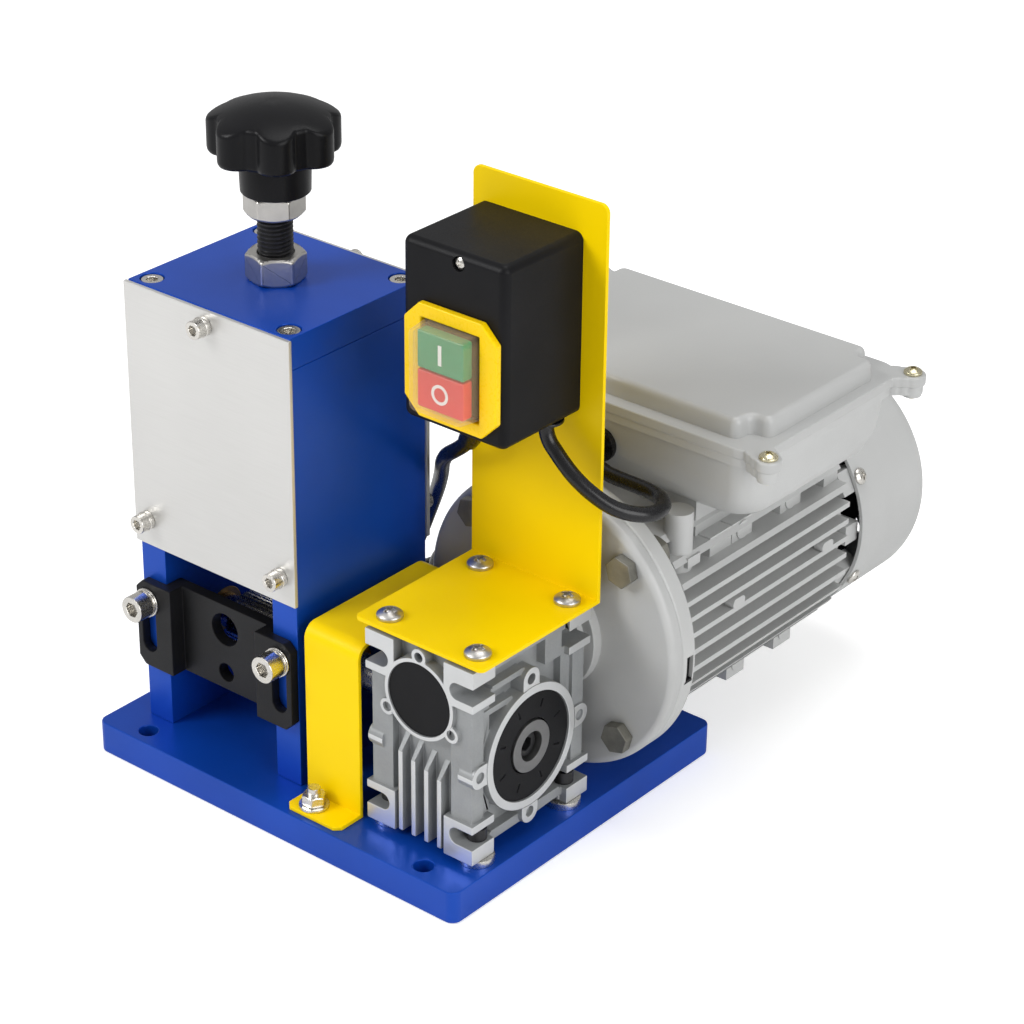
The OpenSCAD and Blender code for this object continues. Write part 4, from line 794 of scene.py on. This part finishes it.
class STRIPPER_OT_knob(bpy.types.Operator):
    """Dresses the knob and nuts and cuts the thread of the adjusting screw"""

    bl_idname = "stripper.knob"
    bl_label = "Knob and screw"

    def execute(self, context):
        dress_all([("jam_nut", "satin_zinc", 0.7), ("lock_nut", "satin_zinc", 0.9)])
        self.star()
        self.screw(context.scene.stripper_sizes)
        return {"FINISHED"}

    def star(self):
        """The star knob: a straight hub and a lobed rim, cut upright through a shallow dome."""
        low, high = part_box("knob")
        axis = (low + high) / 2
        rings = [(*ring, False) for ring in KNOB_UNDER]
        rings += [(r, drop, 1, True) for r, drop in KNOB_TOP]
        bm = bmesh.new()
        ring = bmesh.ops.create_circle(bm, segments=26 * KNOB_LOBES, radius=MM)["verts"]
        edges = list(bm.edges)
        for i, (r, height, lobed, domed) in enumerate(rings):
            if i > 0:
                made = bmesh.ops.extrude_edge_only(bm, edges=edges)["geom"]
                ring = [part for part in made if isinstance(part, bmesh.types.BMVert)]
                sides = [part for part in made if isinstance(part, bmesh.types.BMEdge)]
                edges = [edge for edge in sides if edge.is_boundary]
            for vert in ring:
                angle = math.atan2(vert.co.y, vert.co.x)
                star = self.lobe(angle - KNOB_TURN) / KNOB_REACH
                spoke = r * (1 + lobed * (star - 1))
                dome = KNOB_DOME_TOP - KNOB_DOME_R + math.sqrt(KNOB_DOME_R**2 - spoke**2)
                z = dome - height if domed else height
                vert.co = (spoke * math.cos(angle) * MM, spoke * math.sin(angle) * MM, z * MM)
        bmesh.ops.holes_fill(bm, edges=bm.edges)
        bmesh.ops.recalc_face_normals(bm, faces=bm.faces)
        bmesh.ops.translate(bm, vec=(axis.x, axis.y, low.z), verts=bm.verts)
        as_piece(
            "knob_piece", bm, "knob", FINISHES["knob_plastic"], ["knob"],
            sharp=50.0,
        )

    def lobe(self, angle):
        """Distance from the axis to the rim of the star in a direction."""
        step = 2 * math.pi / KNOB_LOBES
        off = (angle + step / 2) % step - step / 2
        middle = KNOB_REACH - KNOB_LOBE_R
        beyond = math.sqrt(max(KNOB_LOBE_R**2 - (middle * math.sin(off)) ** 2, 0))
        lift = max(middle * math.cos(off) + beyond - KNOB_WEB, 0)
        return KNOB_WEB + math.sqrt(lift**2 + KNOB_SOFT) - KNOB_SOFT

    def screw(self, sizes):
        """The adjusting screw: a collar, a neck and a rod with its thread."""
        low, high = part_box("adjusting_screw")
        axis = (low + high) / 2
        length = high.z - low.z
        collar_r, collar_t = (high.x - low.x) / 2, 5.4 * MM
        neck_r, neck_top = 6 * MM, 11.4 * MM
        rod_r, root_r = 8 * MM, 8 * MM - sizes.thread_depth
        plain_end = 1 * MM
        outline = [
            (0, 0), (collar_r, 0), (collar_r, collar_t), (neck_r, collar_t), (neck_r, neck_top),
            (root_r, neck_top), (root_r, length), (0, length),
        ]
        bm = bmesh.new()
        points = [bm.verts.new((r, 0, z)) for r, z in outline]
        edges = [bm.edges.new(pair) for pair in zip(points, points[1:])]
        bmesh.ops.spin(
            bm, geom=points + edges, cent=(0, 0, 0), axis=(0, 0, 1), angle=2 * math.pi, steps=48,
            use_merge=True,
        )
        bmesh.ops.remove_doubles(bm, verts=bm.verts, dist=1e-6)
        bmesh.ops.recalc_face_normals(bm, faces=bm.faces)
        self.ridge(
            bm, rod_r, root_r, neck_top + plain_end, length - plain_end, sizes.thread_pitch
        )
        bmesh.ops.translate(bm, vec=(axis.x, axis.y, low.z), verts=bm.verts)
        as_piece(
            "adjusting_screw_piece", bm, "knob",
            FINISHES["black_oxide"], ["adjusting_screw"],
        )

    def ridge(self, bm, crest_r, root_r, low, high, pitch):
        """Adds the ridge of the thread as one wound strip, sunk a little into the rod."""
        turns = (high - low - pitch) / pitch
        steps = int(turns * 24)
        sunk_r = root_r - 0.15 * MM
        corners = [
            (sunk_r, 0), (crest_r, 0.38 * pitch), (crest_r, 0.52 * pitch), (sunk_r, 0.9 * pitch),
        ]
        profile = bm.faces.new([bm.verts.new((r, 0, low + z)) for r, z in corners])
        bmesh.ops.spin(
            bm, geom=[profile], cent=(0, 0, 0), axis=(0, 0, 1),
            dvec=(0, 0, turns * pitch / steps), angle=2 * math.pi * turns, steps=steps,
        )
        bmesh.ops.recalc_face_normals(bm, faces=bm.faces)


class STRIPPER_OT_feed(bpy.types.Operator):
    """Dresses the feed roller, the blade and their carriage"""

    bl_idname = "stripper.feed"
    bl_label = "Feed and blade"

    def execute(self, context):
        dress_all(
            [
                ("feed_shaft", "bright_steel", 0.5),
                ("feed_roller", "bright_steel", 0.0),
                ("blade_carriage", "black_steel", 0.5),
                ("blade_axle", "bright_steel", 0.5),
                ("blade_wheel", "bright_steel", 0.0),
                ("shaft_screw", "black_oxide", 0.5),
                ("output_shaft", "turned_steel", 0.5),
            ]
        )
        return {"FINISHED"}


class STRIPPER_OT_sheet_metal(bpy.types.Operator):
    """Dresses the switch bracket, the shaft guard and their fasteners"""

    bl_idname = "stripper.sheet_metal"
    bl_label = "Sheet metal"

    def execute(self, context):
        dress_all(
            [
                ("switch_bracket", "yellow_paint", 0.4),
                ("shaft_guard", "yellow_paint", 0.4),
                ("bracket_screws", "satin_zinc", 0.35),
                ("guard_nuts", "bright_steel", 0.35),
            ]
        )
        return {"FINISHED"}


class STRIPPER_OT_switch(bpy.types.Operator):
    """Dresses the switch box and its buttons and puts their marks on"""

    bl_idname = "stripper.switch"
    bl_label = "Switch"

    def execute(self, context):
        dress_all(
            [
                ("switch_box", "black_plastic", 0.0),
                ("switch_escutcheon", "yellow_plastic", 0.7, 3),
                ("switch_boot", "clear_boot", 0.0),
                ("switch_screw", "bright_steel", 0.2),
                ("start_button", "green_plastic", 0.8, 3),
                ("stop_button", "red_plastic", 0.8, 3),
            ]
        )
        height = context.scene.stripper_sizes.mark
        self.mark("start_mark", "start_button", height, ring=False)
        self.mark("stop_mark", "stop_button", height, ring=True)
        return {"FINISHED"}

    def mark(self, name, button, height, ring):
        """A raised bar or ring in the middle of a button's face."""
        low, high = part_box(button)
        inner_r, bar_width = height * 0.35, height * 0.2
        thickness, sunk = 0.3 * MM, 0.08 * MM
        bm = bmesh.new()
        if ring:
            for radius in (height / 2, inner_r):
                bmesh.ops.create_circle(bm, segments=40, radius=radius)
            bmesh.ops.bridge_loops(bm, edges=bm.edges)
        else:
            bmesh.ops.create_grid(bm, x_segments=1, y_segments=1, size=0.5)
            bmesh.ops.scale(bm, vec=(bar_width, height, 1), verts=bm.verts)
        bmesh.ops.recalc_face_normals(bm, faces=bm.faces)
        bmesh.ops.solidify(bm, geom=bm.faces, thickness=thickness)
        upright = Matrix.Rotation(math.pi / 2, 3, "X")
        bmesh.ops.rotate(bm, cent=(0, 0, 0), matrix=upright, verts=bm.verts)
        back = max(v.co.y for v in bm.verts)
        middle = (low + high) / 2
        bmesh.ops.translate(bm, vec=(middle.x, low.y - back + sunk, middle.z), verts=bm.verts)
        bmesh.ops.recalc_face_normals(bm, faces=bm.faces)
        as_piece(name, bm, BODY_OF[button], FINISHES["mark_white"])


class STRIPPER_OT_gearbox(bpy.types.Operator):
    """Dresses the gearbox and its flange"""

    bl_idname = "stripper.gearbox"
    bl_label = "Gearbox"

    def execute(self, context):
        pieces = dress_all(
            [
                ("gearbox_housing", "cast_alloy", 0.5),
                ("worm_end_cap", "black_plastic", 0.3),
                ("output_covers", "black_plastic", 0.3),
                ("gearbox_bolts", "black_oxide", 0.3),
                ("input_flange", "flange_paint_with_painted_shade", 0.5),
                ("flange_bolts", "dull_steel", 0.5),
            ]
        )
        low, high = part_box("gearbox_housing")
        skin, facing, washer_top = 0.7 * MM, 0.6, low.z + 0.2 * MM
        second_finish(
            pieces["gearbox_housing"], "milled_alloy",
            lambda middle, normal: (middle.x > high.x - skin and normal.x > facing)
            or (middle.x < low.x + skin and normal.x < -facing)
            or (middle.y < low.y + skin and normal.y < -facing),
        )
        second_finish(
            pieces["gearbox_bolts"], "bright_steel", lambda middle, normal: middle.z < washer_top
        )
        return {"FINISHED"}


class STRIPPER_OT_motor(bpy.types.Operator):
    """Dresses the motor and its fan cowl"""

    bl_idname = "stripper.motor"
    bl_label = "Motor"

    def execute(self, context):
        pieces = dress_all(
            [
                ("motor_frame", "grey_paint", 0.0),
                ("motor_flange", "grey_paint", 0.5),
                ("motor_rear_shield", "grey_paint", 0.4),
                ("fan_cowl", "grey_paint", 0.35),
                ("cowl_screws", "bright_steel", 0.25),
                ("cooling_fan", "black_plastic", 0.3),
            ]
        )
        low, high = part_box("motor_flange")
        axis_z = (low.z + high.z) / 2
        # Faces in the slot on the flange's right side are made black as painted shade
        slot_x = (high.x - 2.8 * MM, high.x - 0.6 * MM)
        slot_y = (low.y + 5.6 * MM, low.y + 10.9 * MM)
        slot_half = 10 * MM
        second_finish(
            pieces["motor_flange"], "black_plastic",
            lambda middle, normal: slot_x[0] < middle.x < slot_x[1]
            and slot_y[0] < middle.y < slot_y[1]
            and abs(middle.z - axis_z) < slot_half,
        )
        return {"FINISHED"}


# Degrees at which the shading of terminal box and lid breaks
LID_SHARP = 50.0


class STRIPPER_OT_terminal_box(bpy.types.Operator):
    """Dresses the terminal box, its lid and screws"""

    bl_idname = "stripper.terminal_box"
    bl_label = "Terminal box"

    def execute(self, context):
        dressed("lid_screws", "warm_zinc", 0.25)
        self.box()
        self.lid()
        return {"FINISHED"}

    def box(self):
        """The box, with short posts under the lugs, so that the screw tips show."""
        low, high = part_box("terminal_box")
        middle_x = (low.x + high.x) / 2
        posts_x, post_top, post_end = 85 * MM, high.z - 4.5 * MM, high.z - 5.5 * MM
        bm = merged_copy("terminal_box")
        for vert in bm.verts:
            if abs(vert.co.x - middle_x) > posts_x and vert.co.z < post_top:
                vert.co.z = post_end
        as_piece(
            "terminal_box_piece", bm, "frame", FINISHES["grey_paint"],
            ["terminal_box"], LID_SHARP,
        )

    def lid(self):
        """The lid: the rim of its solid with a pressed middle that steps back round the screws."""
        low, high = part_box("terminal_lid")
        rim_top = low.z + 5 * MM
        bm = merged_copy("terminal_lid")
        bmesh.ops.bisect_plane(
            bm, geom=[*bm.verts, *bm.edges, *bm.faces], dist=MERGE_GAP,
            plane_co=(0, 0, rim_top), plane_no=(0, 0, 1), clear_outer=True,
        )
        rim = [e for e in bm.edges if e.is_boundary]
        bmesh.ops.triangle_fill(bm, edges=rim, use_beauty=True)
        break_edges(bm, width=0.8 * MM, segments=3, angle=50.0)
        pressed = self.pressed_middle(high.z - rim_top)
        middle = (low + high) / 2
        bmesh.ops.translate(pressed, vec=(middle.x, middle.y, rim_top), verts=pressed.verts)
        shape = bpy.data.meshes.new("pressed_middle")
        pressed.to_mesh(shape)
        pressed.free()
        bm.from_mesh(shape)
        bpy.data.meshes.remove(shape)
        as_piece(
            "terminal_lid_piece", bm, "frame", FINISHES["lid_paint_with_painted_shade"],
            ["terminal_lid"], LID_SHARP,
        )

    def pressed_middle(self, rise):
        """The raised middle of the lid about the origin, with a round brim and notched corners."""
        half_w, half_d, notch = 80.5, 50.5, 10.0
        outer_r, inner_r, sunk, brim_h = 4.6, 3.4, 0.1, 3.4
        brim = ((0.3, 1.5), (0.6, 1.0), (0.9, 0.6), (1.2, 0.4))
        corner = [
            (half_w, half_d - notch), (half_w - notch, half_d - notch), (half_w - notch, half_d),
        ]
        outline = [
            (sx * x, sy * y)
            for sx, sy in ((1, 1), (-1, 1), (-1, -1), (1, -1))
            for x, y in (corner if sx * sy > 0 else reversed(corner))
        ]
        bm = bmesh.new()
        points = [bm.verts.new((x * MM, y * MM, -sunk * MM)) for x, y in outline]
        bm.faces.new(points)
        for radius, chosen in ((inner_r, points[1::3]), (outer_r, points[0::3] + points[2::3])):
            bmesh.ops.bevel(
                bm, geom=chosen, offset=radius * MM, affect="VERTICES", segments=7, profile=0.5,
                material=-1,
            )
        top = list(bm.faces)
        steps = [(0.5 * MM, rise - brim_h * MM)]
        steps += [(inset * MM, lift * MM) for inset, lift in brim]
        for inset, lift in steps:
            bmesh.ops.inset_region(
                bm, faces=top, thickness=inset, depth=lift, use_boundary=True, use_even_offset=True
            )
        bmesh.ops.holes_fill(bm, edges=bm.edges)
        bmesh.ops.recalc_face_normals(bm, faces=bm.faces)
        return bm


class STRIPPER_OT_inner(bpy.types.Operator):
    """Gives the enclosed pieces their finishes"""

    bl_idname = "stripper.inner"
    bl_label = "Enclosed pieces"

    def execute(self, context):
        for node, finish_name in (
            ("ball_bearings", "bright_steel"),
            ("worm", "bright_steel"),
            ("worm_wheel", "bronze"),
            ("stator", "stator_core"),
            ("rotor", "bright_steel"),
            ("capacitor", "white_plastic"),
            ("switch_module", "black_plastic"),
        ):
            paint_node(node, finish_name)
        return {"FINISHED"}


OPERATORS = (
    STRIPPER_OT_finishes,
    STRIPPER_OT_stage,
    STRIPPER_OT_leads,
    STRIPPER_OT_head,
    STRIPPER_OT_guide,
    STRIPPER_OT_knob,
    STRIPPER_OT_feed,
    STRIPPER_OT_sheet_metal,
    STRIPPER_OT_switch,
    STRIPPER_OT_gearbox,
    STRIPPER_OT_motor,
    STRIPPER_OT_terminal_box,
    STRIPPER_OT_inner,
)


class STRIPPER_PT_panel(bpy.types.Panel):
    """Lists the steps and what can be changed"""

    bl_idname = "STRIPPER_PT_panel"
    bl_label = "Wire stripper"
    bl_space_type = "VIEW_3D"
    bl_region_type = "UI"
    bl_category = "Wire stripper"

    def draw(self, context):
        for group in (context.scene.stripper_colours, context.scene.stripper_sizes):
            for name in group.__annotations__:
                self.layout.prop(group, name)
        for operator in OPERATORS:
            self.layout.operator(operator.bl_idname)


CLASSES = (StripperColours, StripperSizes, *OPERATORS, STRIPPER_PT_panel)


def register():
    for cls in CLASSES:
        bpy.utils.register_class(cls)
    bpy.types.Scene.stripper_colours = bpy.props.PointerProperty(type=StripperColours)
    bpy.types.Scene.stripper_sizes = bpy.props.PointerProperty(type=StripperSizes)


def unregister():
    del bpy.types.Scene.stripper_sizes
    del bpy.types.Scene.stripper_colours
    for cls in reversed(CLASSES):
        bpy.utils.unregister_class(cls)


def main():
    """Takes every step in order."""
    register()
    for operator in OPERATORS:
        step = operator.bl_idname.split(".")[1]
        getattr(bpy.ops.stripper, step)()


if __name__ == "__main__":
    main()
